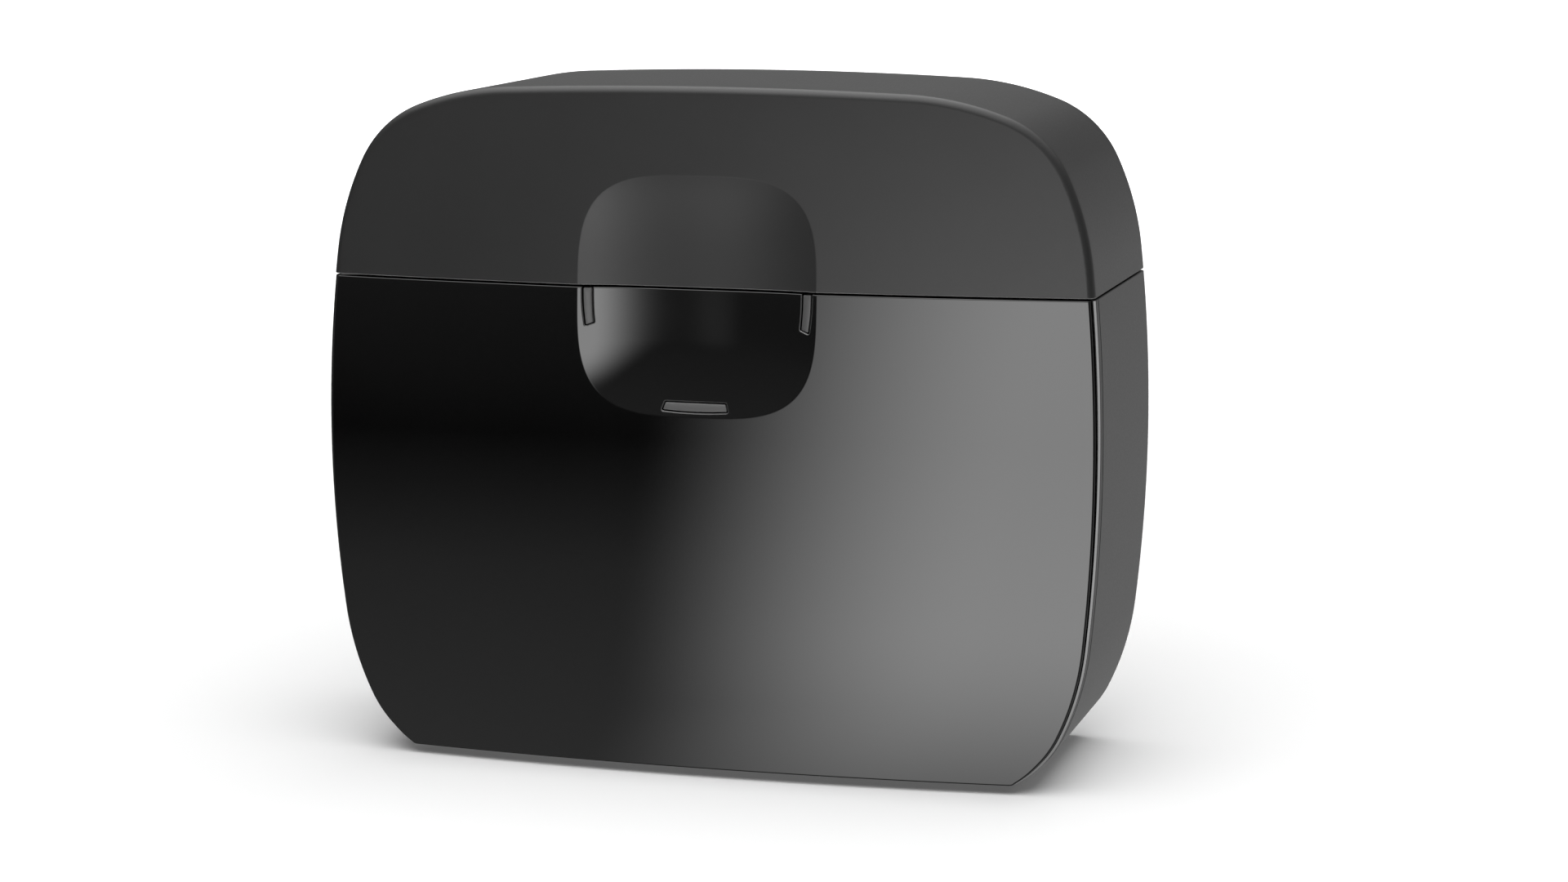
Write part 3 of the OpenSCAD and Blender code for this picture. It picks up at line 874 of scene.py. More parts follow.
def make_body():
    rb = 0.45
    o = Outline(Z_BODY - CH, False)

    def rim_y(q):
        return dome(q[:, 0], q[:, 1], 0.65)

    t_in = panel_edge(o)[0]
    seat = o.ring(t_in)
    c = np.array([0.0, o.zend])
    rows = [np.array([[0.0, float(dome(0.0, o.zend, 1.2)), o.zend]])]
    for f in (0.33, 0.66, 1.0):
        q = c + (seat - c) * f
        rows.append(xyz(q, dome(q[:, 0], q[:, 1], 1.2)))
    rows.append(xyz(seat, rim_y(seat) + 0.02))
    first_rim = len(rows) - 1
    q = o.ring(t_in * 0.9)
    rows.append(xyz(q, rim_y(q)))
    q = o.ring(0.065)
    rows.append(xyz(q, rim_y(q)))
    w = o.ring(0.035)
    p = o.ring(0.0)
    y0 = rim_y(p)
    q = o.ring(0.045)
    rows.append(xyz(q, y0 + 0.018))
    last_rim = len(rows) - 1
    rows.append(xyz(w, y0 + 0.06))
    # fine moulding seam: the shell steps out a little behind the rim
    rows.append(xyz(w, y0 + 1.10))
    rows.append(xyz(w, y0 + 1.16))
    seam = len(rows) - 1
    rows.append(xyz(o.ring(0.004), y0 + 1.172))
    rows.append(xyz(p, y0 + 1.19))
    rows.append(xyz(p, y0 + 1.25))
    ys = y0 + 1.25
    for f in (0.25, 0.5, 0.75, 0.985, 1.0):
        rows.append(xyz(p, ys + (BY - rb - ys) * f))
    for k in range(1, 7):
        a = math.pi / 2 * k / 6
        rows.append(xyz(o.ring(rb - rb * math.cos(a)), BY - rb + rb * math.sin(a)))
    edge = o.ring(rb)
    rows += inward(o, edge, BY, (0.985, 0.8, 0.55, 0.3))
    rows.append(np.array([[0.0, BY, o.zend]]))
    mats = [1 if first_rim <= k < last_rim or k == seam else 0
            for k in range(len(rows) - 1)]
    b = Build()
    ids = b.rows(rows, mats=mats)
    top = lip(b, cut_loop(b, ids), CH, Z_BODY)
    i = Outline(Z_BODY, False)
    t = 1.8
    q = i.ring(t)
    inner = [np.array([[0.0, BI, i.zend]])]
    inner += inward(i, q, BI, (0.3, 0.65, 1.0))
    yin = dome(q[:, 0], q[:, 1], 2.6)
    inner.append(xyz(q, (BI + yin) / 2))
    inner.append(xyz(q, yin))
    ci = np.array([0.0, i.zend])
    for f in (0.75, 0.5, 0.25):
        k = ci + (q - ci) * f
        inner.append(xyz(k, dome(k[:, 0], k[:, 1], 2.6)))
    inner.append(np.array([[0.0, float(dome(0.0, i.zend, 2.6)), i.zend]]))
    ids2 = b.rows(inner)
    ob = b.obj("body_shell_moulding", [satin, rim_gloss],
               fills=[[top, cut_loop(b, ids2)]])
    boolean(ob, [rod("screw_boss", 3.0, (0, y, ZB + 1.4), (0, y, ZB + 2.6))
                 for y in POST_Y], "UNION")
    holes = [cutter("bracket_notch", -13.2, 13.2, FY - 1, FY + 4.5, 33.5, 60)]
    for y in POST_Y:
        holes.append(rod("screw_well", 2.1, (0, y, -1), (0, y, ZB + 1)))
        holes.append(rod("screw_hole", 1.1, (0, y, ZB + 0.5), (0, y, 12)))
    for x in (-23, 23):
        for y in (FY + 11.5, BY - 5):
            holes.append(rod("foot_seat", 3.05, (x, y, -1), (x, y, ZB + 0.6)))
    boolean(ob, holes + hinge_room(-1))
    return ob


# ---------------------------------------------------------------- catch
def make_bracket():
    plate = round_block("catch_bracket_tabs", (-15.5, 15.5, -11.7, -10.05, 0.3),
                        33.9, 46.75, 0.18, [tab_face_painted_light, inner_plastic])
    boolean(plate, [cutter("pocket", x - 4.05, x + 4.05, -11.5, -10.24, 44.0, 54)
                    for x in (-6.5, 6.5)])
    for f in plate.data.polygons:
        f.material_index = 1
    boolean(plate, [tab_solid("tab_r", side_tab(1), [tab_face_painted_light]),
                    tab_solid("tab_l", side_tab(-1), [tab_face_painted_light]),
                    tab_solid("tab_m", LOW_TAB, [tab_face_painted_light])], "UNION")
    # the tab fronts take the lighter copy (painted light), the rest of the bracket the darker
    # inner plastic
    me = plate.data
    co = np.array([f.center[1] / MM for f in me.polygons])
    for f, y in zip(me.polygons, co):
        f.material_index = 0 if y < -11.71 else 1
    return plate


# ---------------------------------------------------------------- mouth
COLLAR = (-34.5, 34.5, -9.2, 10.1, 3.0)


def make_collar():
    b = Build()
    e = 0.35
    prof = ([(0, 37.1), (0, 42.0), (0, 48.6), (0.10, 50.2 - e - 0.3)]
            + quarter(0.10, 50.2 - e, 0.10 + e, 50.2, 6, "z")
            + quarter(1.2 - e, 50.2, 1.2, 50.2 - e, 6, "t") + [(1.2, 45.0), (1.2, 37.1)])
    ids = b.rows([rr(COLLAR, t, z, 12, 14) for t, z in prof], True)
    b.strip(ids[-1], ids[0], True)
    # flange to the walls of the shell, with room for the bracket
    up = Outline(44.4, True)
    xs = float(up.ring(1.95)[0][0])
    loop = []
    yb = BI - 0.1
    loop += [(-xs + (2 * xs) * k / 30, yb) for k in range(31)]
    x = np.linspace(xs, 15.7, 16)
    loop += [(v, float(dome(v, 44.4, 2.75))) for v in x]
    loop += [(15.7, -9.9), (0, -9.9), (-15.7, -9.9)]
    loop += [(-v, float(dome(v, 44.4, 2.75))) for v in x[::-1]]
    inner = rrect(-34.3, 34.3, -9.0, 9.9, 2.8, 8, 10)
    lo = b.ring([(px, py, 43.8) for px, py in loop])
    hi = b.ring([(px, py, 44.92) for px, py in loop])
    ins = np.array(loop) - 0.08 * loop_normals(np.array(loop))
    cap = b.ring([(px, py, 45.0) for px, py in ins])
    il = b.ring([(px, py, 43.8) for px, py in inner])
    ih = b.ring([(px, py, 45.0) for px, py in inner])
    b.strip(lo, hi, True)
    b.strip(hi, cap, True)
    b.strip(il, ih, True)
    return b.obj("mouth_collar_moulding", [inner_plastic], fills=[[cap, ih], [lo, il]])


def make_seal():
    b = Build()
    box = (-35.3, 35.3, -9.95, 10.95, 3.7)
    prof = ([(0.02, 45.02), (0.0, 45.4), (0.0, 46.45)]
            + quarter(0.0, 46.45, 0.36, 47.0, 7, "z")
            + quarter(0.36, 47.0, 0.72, 46.45, 7, "t") + [(0.72, 45.02)])
    ids = b.rows([rr(box, t, z, 12, 14) for t, z in prof], True)
    b.strip(ids[-1], ids[0], True)
    return b.obj("rim_seal_bead", [seal_rubber])


WELL = {-1: (-31.3, -6.3, -6.25, 7.15, 5.0), 1: (6.3, 31.3, -6.25, 7.15, 5.0)}
POCKET = (-4.2, 4.2, -6.05, 6.95, 3.0)
DECK = (-33.15, 33.15, -7.85, 8.75, 1.65)


def make_tray():
    b = Build()
    z = 45.4
    rim = b.rows([rr(DECK, t, zz, 8, 12) for t, zz in
                  [(0, 44.0), (0, z - 0.3)] + quarter(0, z - 0.3, 0.3, z, 5, "z")], True)
    tops, unders = [rim[-1]], [rim[0]]
    for box, floor, e, wall in ((WELL[-1], 10.4, 0.45, 1.2), (WELL[1], 10.4, 0.45, 1.2),
                                (POCKET, 37.4, 0.55, 0.8)):
        prof = ([(-e, z)] + quarter(-e, z, 0, z - e, 6, "t") + [(0.0, (z + floor) / 2),
                (0.0, floor + 1.6)] + quarter(0.0, floor + 1.6, 1.6, floor, 6, "z"))
        ids = b.rows([rr(box, t, zz, 10, 10) for t, zz in prof], True)
        b.face(ids[-1])
        tops.append(ids[0])
        out = b.rows([rr(box, t, zz, 10, 10) for t, zz in
                      [(-wall, 44.0), (-wall, floor + 0.8), (0.8 - wall, floor - 1.2)]], True)
        b.face(out[-1][::-1])
        unders.append(out[0])
    ob = b.obj("inner_tray_moulding", [tray_plastic], fills=[tops, unders])
    posts = []
    for y in POST_Y:
        p = Build()
        n = 40
        ring = [[(r * math.cos(2 * math.pi * k / n), y + r * math.sin(2 * math.pi * k / n), zz)
                 for k in range(n)] for r, zz in ((2.0, 3.2), (2.3, 3.5), (2.3, 36.6))]
        ids = p.rows(ring, True)
        p.face(ids[0][::-1])
        p.face(ids[-1])
        posts.append(p.obj("post", []))
    boolean(ob, posts, "UNION")
    boolean(ob, [rod("pilot", 1.0, (0, y, 0), (0, y, ZB + 14)) for y in POST_Y])
    return ob


def wobble(p, amp, k):
    """Slow uneven waves, so that a soft surface isn't machine flat."""
    p = np.asarray(p, float)
    return amp * (np.sin(p[:, 0] * k + 1.3 * np.sin(p[:, 1] * k * 0.7))
                  + np.sin(p[:, 1] * k * 1.3 + 0.9 * np.sin(p[:, 2] * k * 0.8))
                  + np.sin(p[:, 2] * k * 1.1 + 2.1)) / 3


def make_liner(s, name):
    """Felt cup: soft rolled lip, wall and a round-cornered bottom."""
    b = Build()
    box = WELL[s]
    lipz, deck = 46.1, 45.42
    prof = []
    fl = 11.6
    prof += [(1.2 + 2.6, fl)] + [(1.2 + 2.6 - 2.6 * math.sin(math.pi / 2 * k / 8),
                                  fl + 2.6 * (1 - math.cos(math.pi / 2 * k / 8)))
                                 for k in range(1, 9)]
    prof += [(1.2, fl + 2.6 + (lipz - 1.1 - fl - 2.6) * k / 8) for k in range(1, 9)]
    prof += quarter(1.2, lipz - 1.1, 0.25, lipz, 8, "z")
    prof += quarter(0.25, lipz, -0.88, deck + 0.22, 8, "t")
    prof += [(-0.80, deck), (-0.3, deck), (0.05, deck), (0.05, 30.0), (0.05, 12.0)]
    prof += quarter(0.05, 12.0, 1.6, 10.45, 5, "z")
    rows = []
    for t, z in prof:
        r = rr(box, t, z, 12, 16)
        if t > 0.06 or z > deck + 0.1:
            w = wobble(r, 0.05, 0.55)
            c = np.array([(box[0] + box[1]) / 2, (box[2] + box[3]) / 2])
            d = r[:, :2] - c
            d /= np.linalg.norm(d, axis=1, keepdims=True)
            k = -0.4 if z > deck else 1.0
            r[:, :2] += d * np.minimum(w * k, 0.0 if z > deck else 0.03)[:, None]
        rows.append(r)
    # dished floor
    c = np.array([(box[0] + box[1]) / 2, (box[2] + box[3]) / 2])
    edge = rows[0]
    floor = []
    for f in (0.15, 0.35, 0.55, 0.75, 0.9):
        q = edge.copy()
        q[:, :2] = c + (edge[:, :2] - c) * f
        q[:, 2] = fl - 0.25 * (1 - f * f) + wobble(q, 0.04, 0.8)
        floor.append(q)
    mid = np.array([[c[0], c[1], fl - 0.25]])
    ids = b.rows([mid] + floor + rows, True)
    b.face(ids[-1])
    return b.obj(name, [felt], sharp=50)


def ceiling(x, t):
    x = np.abs(np.asarray(x, float))
    lim = 460 * math.cos(math.radians(TOP_A)) * (460 - t) / 460
    flat = C3[1] + np.sqrt((460 - t) ** 2 - x ** 2)
    bend = CT[1] + np.sqrt(np.maximum((29.5 - t) ** 2 - (x - CT[0]) ** 2, 0))
    return np.where(x <= lim, flat, bend)


def make_pad():
    """Soft pad under the top of the lid: crowned, its sides pulled in between
    the corners, with a pressed channel along its edge."""
    b = Build()
    box = (-24.0, 24.0, -9.25, 8.55, 5.0)
    cx, cy = 0.0, -0.35

    def ring(t, z, sag=0.0):
        r = rr(box, t, 0.0, 12, 20)
        d = r[:, :2] - (cx, cy)
        # sides pull in between the corners
        k = np.minimum(np.abs(d[:, 0]) / 24.0, np.abs(d[:, 1]) / 8.9)
        pull = 0.35 * (1 - np.clip(k, 0, 1)) * sag
        n = loop_normals(r[:, :2])
        r[:, :2] -= n * pull[:, None]
        r[:, 2] = z
        return r

    rows = []
    top = ring(0.9, 0.0, 0.6)
    top[:, 2] = ceiling(top[:, 0], 2.97)
    rows.append(top)
    up = ring(0.25, 0.0, 0.6)
    up[:, 2] = ceiling(up[:, 0], 2.97) - 0.35
    rows.append(up)
    for t, z in ((0.05, 61.4), (0.0, 60.9), (0.06, 60.45), (0.22, 60.05), (0.5, 59.75),
                 (0.95, 59.55), (1.5, 59.5), (1.9, 59.56), (2.2, 59.68), (2.45, 59.74),
                 (2.7, 59.68), (3.0, 59.52), (3.5, 59.34), (4.1, 59.22)):
        rows.append(ring(t, z, 1.0))
    edge = rows[-1]
    for f in (0.86, 0.72, 0.58, 0.44, 0.3, 0.15):
        q = edge.copy()
        q[:, 0] = cx + (edge[:, 0] - cx) * f
        q[:, 1] = cy + (edge[:, 1] - cy) * f
        q[:, 2] = 58.93 + 0.29 * f ** 2.2
        rows.append(q)
    for q in rows[2:]:
        q[:, 2] += np.maximum(wobble(q, 0.07, 0.42), -0.02)
    rows.append(np.array([[cx, cy, 58.95]]))
    ids = b.rows(rows, True)
    b.face(ids[0])
    ob = b.obj("lid_pad_foam", [pad_cloth], sharp=60)
    return ob


def make_lid_liner():
    """Inner skin of the lid with the rail that holds the keepers."""
    o = Outline(50.6, True)
    c = np.array([0.0, o.zend])

    def stack(t, y0, y1, e, zmin):
        q = o.ring(t)

        def fy(p):
            return np.maximum(y0, dome(p[:, 0], p[:, 1], 1.65 + t - 1.8))

        inset = o.ring(t + e)
        rows = [np.array([[0.0, y0, o.zend]])]
        for f in (0.3, 0.6, 0.85, 1.0):
            k = c + (inset - c) * f
            rows.append(xyz(k, fy(k)))
        for k in range(1, 6):
            a = math.pi / 2 * k / 5
            rows.append(xyz(o.ring(t + e * (1 - math.sin(a))),
                            fy(inset) + e * (1 - math.cos(a))))
        ya = fy(inset) + e
        rows.append(xyz(q, (ya + y1 - e) / 2))
        for k in range(0, 6):
            a = math.pi / 2 * k / 5
            rows.append(xyz(o.ring(t + e * (1 - math.cos(a))),
                            np.full(len(q), y1 - e * (1 - math.sin(a)))))
        for f in (0.85, 0.6, 0.3):
            rows.append(xyz(c + (inset - c) * f, np.full(len(q), y1)))
        rows.append(np.array([[0.0, y1, o.zend]]))
        return rows

    b = Build()
    a = b.rows(stack(1.9, -11.95, 10.95, 0.5, 50.6))
    i = b.rows(stack(2.9, -10.95, 9.95, 1.2, 50.6))
    ob = b.obj("lid_liner_moulding", [inner_plastic], fills=[[cut_loop(b, a), cut_loop(b, i)]])
    rail = round_block("rail", (-14.5, 14.5, -11.8, -9.85, 0.5), 47.45, 52.45, 0.25, [])
    boolean(rail, [cutter("keeper_room", x - 4.05, x + 4.05, -11.5, -10.24, 46.5, 49.1)
                   for x in (-6.5, 6.5)])
    boolean(ob, [rail], "UNION")
    return ob


def make_feet():
    b = Build()
    n = 48
    for x in (-23, 23):
        for y in (FY + 11.5, BY - 5):
            prof = ([(2.2, -DZ)] + [(2.6 + 0.4 * math.sin(math.pi / 2 * k / 5),
                                     -DZ + 0.4 * (1 - math.cos(math.pi / 2 * k / 5)))
                                    for k in range(0, 6)]
                    + [(3.0, 0.55), (3.0, 1.13)])
            rings = [[(x + r * math.cos(2 * math.pi * k / n),
                       y + r * math.sin(2 * math.pi * k / n), z) for k in range(n)]
                     for r, z in prof]
            mid = [(x, y, -DZ)]
            ids = b.rows([mid] + rings, True)
            b.face(ids[-1])
    return b.obj("rubber_feet_pads", [foot_rubber])


# ---------------------------------------------------------------- hinge
AXIS_Y, LEAF_T, KN = BY + 0.3, 0.8, 34 / 5


def stand_up(b):
    """Turns rings drawn flat at a level into rings drawn upright at a depth."""
    b.v = [(x, z, y) for x, y, z in b.v]
    return b


def leaf_plate(s):
    b = Build()
    z0, z1 = sorted((ZP + s * 1.5, ZP + s * 7.5))
    box = (-17.0, 17.0, z0, z1, 0.45)
    e = 0.16
    prof = [(0.05, BY - LEAF_T), (0.0, BY - LEAF_T + 0.05), (0.0, BY - e)]
    prof += quarter(0.0, BY - e, e, BY, 5, "z")
    ids = b.rows([rr(box, t, y, 6, 8) for t, y in prof], True)
    b.face(ids[0][::-1])
    b.face(ids[-1])
    return stand_up(b).obj("leaf", [])


def knuckle(x0, x1):
    """Curled barrel with eased ends and the bore for the pin."""
    b = Build()
    n, e = 72, 0.1
    prof = [(x0, 0.6), (x0, 1.2 - e)]
    prof += [(x0 + e * (1 - math.cos(a)), 1.2 - e + e * math.sin(a))
             for a in (math.pi / 8, math.pi / 4, 3 * math.pi / 8, math.pi / 2)]
    prof += [(x0 + x1 - x, r) for x, r in prof[::-1]]
    rings = [[(x, AXIS_Y + r * math.cos(2 * math.pi * k / n),
               ZP + r * math.sin(2 * math.pi * k / n)) for k in range(n)]
             for x, r in prof]
    ids = b.rows(rings, True)
    b.strip(ids[-1], ids[0], True)
    return b.obj("knuckle", [])


def neck(x0, x1, s):
    z0, z1 = sorted((ZP + s * 0.95, ZP + s * 1.9))
    return cutter("neck", x0 + 0.02, x1 - 0.02, BY - LEAF_T, BY - 0.001, z0, z1)


def heel(x0, x1):
    """Stop lug: it meets the body leaf when the lid is fully open."""
    b = Build()
    a = math.radians(110)
    box = (-0.26, 0.5, -1.7, -0.75, 0.12)
    e = 0.1
    rows = []
    for x, t in ((x0, e), (x0 + 0.03, 0.03), (x0 + e, 0.0), (x1 - e, 0.0),
                 (x1 - 0.03, 0.03), (x1, e)):
        q = rrect(box[0] + t, box[1] - t, box[2] + t, box[3] - t, max(0.12 - t, 0.02), 5, 3)
        rows.append([(x, AXIS_Y + y * math.cos(a) - z * math.sin(a),
                      ZP + y * math.sin(a) + z * math.cos(a)) for y, z in q])
    ids = b.rows(rows, True)
    b.face(ids[0][::-1])
    b.face(ids[-1])
    return b.obj("heel", [])


def sink(x, z):
    """Countersunk screw hole."""
    b = Build()
    n = 48
    prof = [(BY - 2.0, 0.85), (BY - 0.7, 0.85), (BY + 0.05, 1.6), (BY + 0.6, 1.6)]
    rings = [[(x + r * math.cos(2 * math.pi * k / n), y, z + r * math.sin(2 * math.pi * k / n))
              for k in range(n)] for y, r in prof]
    ids = b.rows(rings, True)
    b.face(ids[0][::-1])
    b.face(ids[-1])
    return b.obj("sink", [])


def make_leaf(s, name):
    g = 0.1
    if s < 0:
        runs = [(-17.0, -1.5 * KN - g), (-0.5 * KN + g, 0.5 * KN - g), (1.5 * KN + g, 17.0)]
    else:
        runs = [(-1.5 * KN + g, -0.5 * KN - g), (0.5 * KN + g, 1.5 * KN - g)]
    ob = leaf_plate(s)
    boolean(ob, [neck(a, c, s) for a, c in runs], "UNION")
    boolean(ob, [rod("clear", 1.1, (-18, AXIS_Y, ZP), (18, AXIS_Y, ZP), 48)])
    boolean(ob, [knuckle(a, c) for a, c in runs], "UNION")
    if s > 0:
        boolean(ob, [heel(a + 0.15, c - 0.15) for a, c in runs], "UNION")
    boolean(ob, [sink(x, ZP + s * 4.8) for x in (-12, 12)], sharp=40.0)
    ob.name = name
    ob.data.name = name
    ob.data.materials.clear()
    ob.data.materials.append(hinge_metal)
    ob.data.polygons.foreach_set("material_index", [0] * len(ob.data.polygons))
    even = ob.modifiers.new("even", "WEIGHTED_NORMAL")
    even.keep_sharp = True
    even.weight = 100
    return ob


made = [
    (make_leaf(-1, "body_hinge_leaf_steel"), "case", "body_hinge_leaf", "hinge_metal"),
    (make_leaf(1, "lid_hinge_leaf_steel"), "lid", "lid_hinge_leaf", "hinge_metal"),
    (make_body(), "case", "body_shell", "satin_shell"),
    (make_panel(), "case", "front_panel", "gloss_front"),
    (make_bracket(), "case", "catch_bracket", "satin_bracket"),
    (make_collar(), "case", "mouth_collar", "inner_plastic"),
    (make_seal(), "case", "rim_seal", "seal_rubber"),
    (make_tray(), "case", "inner_tray", "tray_plastic"),
    (make_liner(-1, "aid_liner_left_felt"), "case", "aid_liner_left", "felt"),
    (make_liner(1, "aid_liner_right_felt"), "case", "aid_liner_right", "felt"),
    (make_feet(), "case", "rubber_feet", "foot_rubber"),
    (make_lid(), "lid", "lid_shell", "satin_shell"),
    (make_lid_liner(), "lid", "lid_liner", "inner_plastic"),
    (make_pad(), "lid", "lid_pad", "felt"),
]
for ob, body, node, slot in made:
    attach(ob, body)
    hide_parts(node)

# ------------------------------------------------- metal pieces kept from CAD
for node, mat, w in (("catch_magnets", nickel, 0.12), ("lid_keepers", screw_steel, 0.1),
                     ("tray_screws", screw_steel, 0.06), ("hinge_pin", pin_steel, 0.08),
                     ("body_hinge_screws", screw_steel, 0.05),
                     ("lid_hinge_screws", screw_steel, 0.05)):
    ob = frame["nodes"][node]
    if not ob.material_slots:
        ob.data.materials.append(mat)
    for s in ob.material_slots:
        s.material = mat
    wd = ob.modifiers.new("weld", "WELD")
    wd.merge_threshold = 2e-6
    flat = ob.modifiers.new("flat", "DECIMATE")      # one face per flat side
    flat.decimate_type = "DISSOLVE"
    flat.angle_limit = math.radians(0.4)
    bv = ob.modifiers.new("ease", "BEVEL")
    bv.width = w * MM
    bv.segments = 2
    bv.limit_method = "ANGLE"
    bv.angle_limit = math.radians(35)
    bv.harden_normals = True
    ob.data.shade_smooth()

# ---------------------------------------------------------------- stage
def disc(name, r, z, n=96):
    b = Build()
    ids = b.rows([[(0, 0, z)]] + [[(q * math.cos(2 * math.pi * k / n),
                                    q * math.sin(2 * math.pi * k / n), z)
                                   for k in range(n)] for q in (400, 2000, r)], True)
    return b.obj(name, [])


floor = disc("floor", 14000, -DZ)
fm, ft, fb = material("floor_paper")
fb.inputs["Base Color"].default_value = (0.9, 0.9, 0.9, 1)
fb.inputs["Roughness"].default_value = 0.9
fb.inputs["Specular IOR Level"].default_value = 0.0
fb.inputs["Emission Color"].default_value = (1, 1, 1, 1)
# painted light: the paper glows, dimly under the case, where it sets the painted shadow there,
# and more strongly further off
fsep = add(ft, "ShaderNodeSeparateXYZ")
ft.links.new(coords(ft), fsep.inputs[0])


def fmath(op, a, b=None):
    nd = add(ft, "ShaderNodeMath", operation=op)
    for i, v in enumerate((a, b)):
        if isinstance(v, (int, float)):
            nd.inputs[i].default_value = v
        elif v is not None:
            ft.links.new(v, nd.inputs[i])
    return nd.outputs[0]


def beyond(axis, mid, half):
    d = fmath("ABSOLUTE", fmath("SUBTRACT", axis, mid))
    return fmath("MAXIMUM", fmath("SUBTRACT", d, half), 0.0)


away = fmath("SQRT", fmath("ADD", fmath("POWER", beyond(fsep.outputs["X"], 0.0, 0.029), 2.0),
                           fmath("POWER", beyond(fsep.outputs["Y"], -0.0005, 0.0132), 2.0)))
painted_shadow_glow = remap(ft, away, 0.095, 0.155, 0.0, 0.004)
painted_far_glow = remap(ft, away, 0.0, 0.9, 0.04, 0.8)
ft.links.new(fmath("ADD", painted_shadow_glow, painted_far_glow), fb.inputs["Emission Strength"])
floor.data.materials.append(fm)
floor.visible_glossy = False

# pale surroundings that only the camera sees
b = Build()
n = 64
b.rows([[(9000 * math.cos(2 * math.pi * k / n), 9000 * math.sin(2 * math.pi * k / n), z)
         for k in range(n)] for z in (-400, 9000)], True)
wall = b.obj("backdrop", [])
wm, wt, wb = material("backdrop_paper")
wb.inputs["Base Color"].default_value = (0, 0, 0, 1)
wb.inputs["Emission Color"].default_value = (1, 1, 1, 1)
wb.inputs["Emission Strength"].default_value = 1.0
wall.data.materials.append(wm)
for k in ("visible_diffuse", "visible_glossy", "visible_transmission", "visible_shadow"):
    setattr(wall, k, False)

# large soft ceiling light
ld = bpy.data.lights.new("ceiling_softbox", "AREA")
ld.shape = "ELLIPSE"
ld.size, ld.size_y = 2.6, 4.8
ld.energy = 1.0
lo = bpy.data.objects.new("ceiling_softbox", ld)
lo.location = (0.25, -1.17, 2.4)
scene.collection.objects.link(lo)
lo.visible_glossy = False
lo.visible_camera = False
CEILING_RADIANCE, FILL_RADIANCE = 3.39, 1.4
ld.energy = CEILING_RADIANCE * math.pi * (math.pi * 1.3 * 2.4)

# soft fill from behind, which lights the case and not the paper
fill = bpy.data.lights.new("rear_fill", "AREA")
fill.shape = "RECTANGLE"
fill.size, fill.size_y = 3.0, 2.0
fill.energy = FILL_RADIANCE * math.pi * 6.0
fo = bpy.data.objects.new("rear_fill", fill)
fo.location = (-0.5, 2.6, 1.1)
fo.rotation_mode = "QUATERNION"
fo.rotation_quaternion = (Vector((0, 0, 0.03)) - fo.location).to_track_quat("-Z", "Y")
scene.collection.objects.link(fo)
fo.visible_glossy = False
fo.visible_camera = False
lit = bpy.data.collections.new("case_pieces")
for ob in list(scene.objects):
    if ob.type == "MESH" and ob not in (floor, wall):
        lit.objects.link(ob)
fo.light_linking.receiver_collection = lit

# surroundings that the surfaces mirror: a soft window in front, dim walls,
# a bright ceiling
world = bpy.data.worlds.new("studio")
scene.world = world
E0, E1 = 0.97, 0.95
world.use_nodes = True
wt = world.node_tree
for nd in list(wt.nodes):
    wt.nodes.remove(nd)
out = wt.nodes.new("ShaderNodeOutputWorld")
bg = wt.nodes.new("ShaderNodeBackground")
bg.inputs["Color"].default_value = (1, 1, 1, 1)
wt.links.new(bg.outputs[0], out.inputs[0])
tc = wt.nodes.new("ShaderNodeTexCoord")
sep = wt.nodes.new("ShaderNodeSeparateXYZ")
wt.links.new(tc.outputs["Generated"], sep.inputs[0])


def wmath(op, a, b=None, c=None):
    nd = wt.nodes.new("ShaderNodeMath")
    nd.operation = op
    for i, v in enumerate((a, b, c)):
        if v is None:
            continue
        if isinstance(v, (int, float)):
            nd.inputs[i].default_value = v
        else:
            wt.links.new(v, nd.inputs[i])
    return nd.outputs[0]


def smooth(v, a, b, lo=0.0, hi=1.0):
    nd = wt.nodes.new("ShaderNodeMapRange")
    nd.interpolation_type = "SMOOTHSTEP"
    nd.inputs["From Min"].default_value = a
    nd.inputs["From Max"].default_value = b
    nd.inputs["To Min"].default_value = lo
    nd.inputs["To Max"].default_value = hi
    wt.links.new(v, nd.inputs["Value"])
    return nd.outputs["Result"]


X, Y, Z = sep.outputs
ahead = wmath("MAXIMUM", wmath("MULTIPLY", Y, -1.0), 0.05)
z_up, z_dn = wmath("MAXIMUM", Z, 0.0), wmath("MINIMUM", Z, 0.0)
z_low = wmath("MINIMUM", wmath("ADD", Z, 0.40), 0.0)
s = wmath("MULTIPLY_ADD", z_low, -0.45, wmath("MULTIPLY_ADD", z_dn, -0.239, X))
s = wmath("DIVIDE", s, ahead)
edge = wt.nodes.new("ShaderNodeMapRange")      # soft left edge, leaning right
edge.interpolation_type = "SMOOTHSTEP"
wt.links.new(s, edge.inputs["Value"])
wt.links.new(wmath("MULTIPLY_ADD", z_up, E0, -0.333), edge.inputs["From Min"])
wt.links.new(wmath("MULTIPLY_ADD", z_up, E1, 0.056), edge.inputs["From Max"])
win = wmath("MULTIPLY", edge.outputs["Result"], smooth(s, 0.22, 0.58, 1.0, 0.0))
win = wmath("MULTIPLY", win, smooth(Z, -0.595, -0.321))
win = wmath("MULTIPLY", win, smooth(Z, 0.01, 0.29, 1.0, 0.0))
win = wmath("MULTIPLY", win, smooth(Y, -0.25, -0.05, 1.0, 0.0))


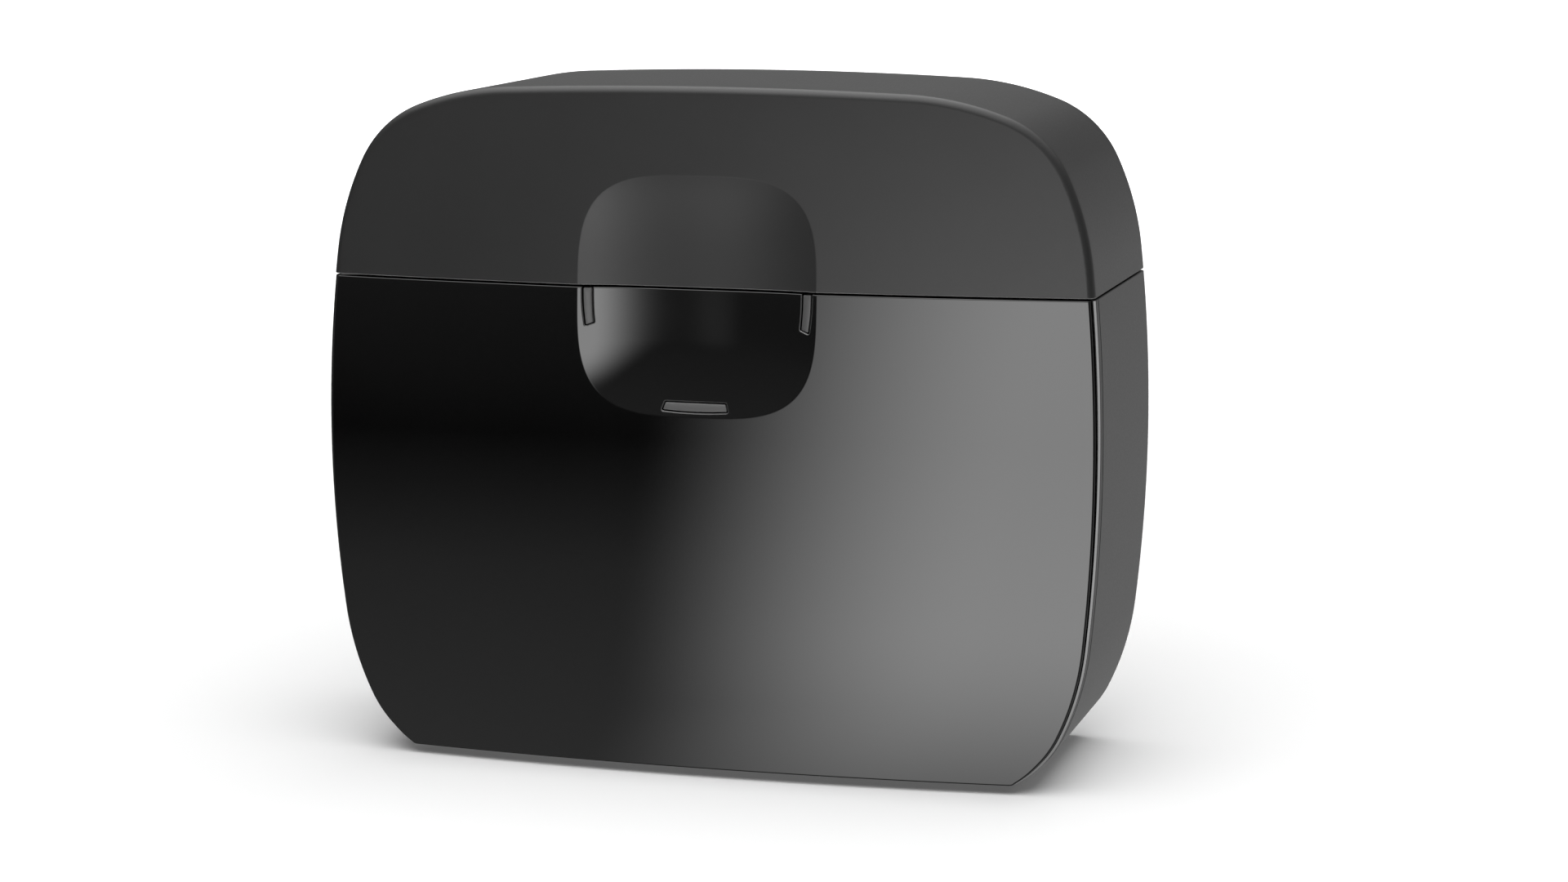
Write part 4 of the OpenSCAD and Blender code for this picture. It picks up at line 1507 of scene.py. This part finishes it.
def by_height(stops):
    """Radiance by elevation, in degrees."""
    ramp = wt.nodes.new("ShaderNodeValToRGB")
    wt.links.new(wmath("MULTIPLY_ADD", Z, 0.5, 0.5), ramp.inputs["Fac"])
    el = ramp.color_ramp.elements
    while len(el) < len(stops):
        el.new(0.5)
    for e, (a, v) in zip(el, stops):
        e.position = (math.sin(math.radians(a)) + 1) / 2
        e.color = (v / 4, v / 4, v / 4, 1)
    return wmath("MULTIPLY", ramp.outputs["Color"], 4.0)


fore = by_height([(-90, 0.60), (-26, 0.52), (-20, 0.42), (-16, 0.335), (-12, 0.15),
                  (-9, 0.035), (-6, 0.08), (-2, 0.13), (3, 0.185), (15, 0.23), (30, 0.26),
                  (42, 1.6), (58, 4.0), (90, 5.0)])
rear = by_height([(-90, 0.46), (-40, 0.46), (-15, 0.47), (-4, 0.41), (4, 0.27), (12, 0.12),
                  (24, 0.20), (38, 1.8), (55, 4.0), (90, 5.0)])
rear = wmath("MULTIPLY", rear, wmath("MULTIPLY_ADD", X, 0.6, 1.02))
part = smooth(Y, -0.15, 0.35)
total = wmath("MULTIPLY_ADD", win, 5.25, wmath("MULTIPLY", fore, wmath("SUBTRACT", 1.0, part)))
total = wmath("MULTIPLY_ADD", rear, part, total)
# dark screens at both sides
flag = wmath("MULTIPLY", smooth(Y, -0.42, -0.2), smooth(Y, 0.2, 0.45, 1.0, 0.0))
flag = wmath("MULTIPLY", flag, smooth(Z, 0.3, 0.6, 1.0, 0.0))
total = wmath("MULTIPLY", total, wmath("MULTIPLY_ADD", flag, -0.8, 1.0))
# the ceiling fades towards the right
fade = wmath("MULTIPLY", smooth(X, -0.18, 0.46), smooth(Z, 0.2, 0.5))
total = wmath("MULTIPLY", total, wmath("MULTIPLY_ADD", fade, -0.68, 1.0))
wt.links.new(total, bg.inputs["Strength"])
world.cycles_visibility.diffuse = False
world.cycles_visibility.camera = False

scene.view_settings.view_transform = "Standard"
scene.view_settings.look = "None"

# ---------------------------------------------------------------- camera
cd = bpy.data.cameras.new("camera")
cam = bpy.data.objects.new("camera", cd)
scene.collection.objects.link(cam)
cd.sensor_fit = "HORIZONTAL"
cd.sensor_width = 36.0
cd.lens = 83.53
cd.clip_start, cd.clip_end = 0.01, 60.0
cam.location = (0.09969, -0.33749, 0.08916)
target = Vector((0.007414, -0.010425, 0.03263))
cam.rotation_mode = "QUATERNION"
cam.rotation_quaternion = (target - cam.location).to_track_quat("-Z", "Y")
scene.camera = cam
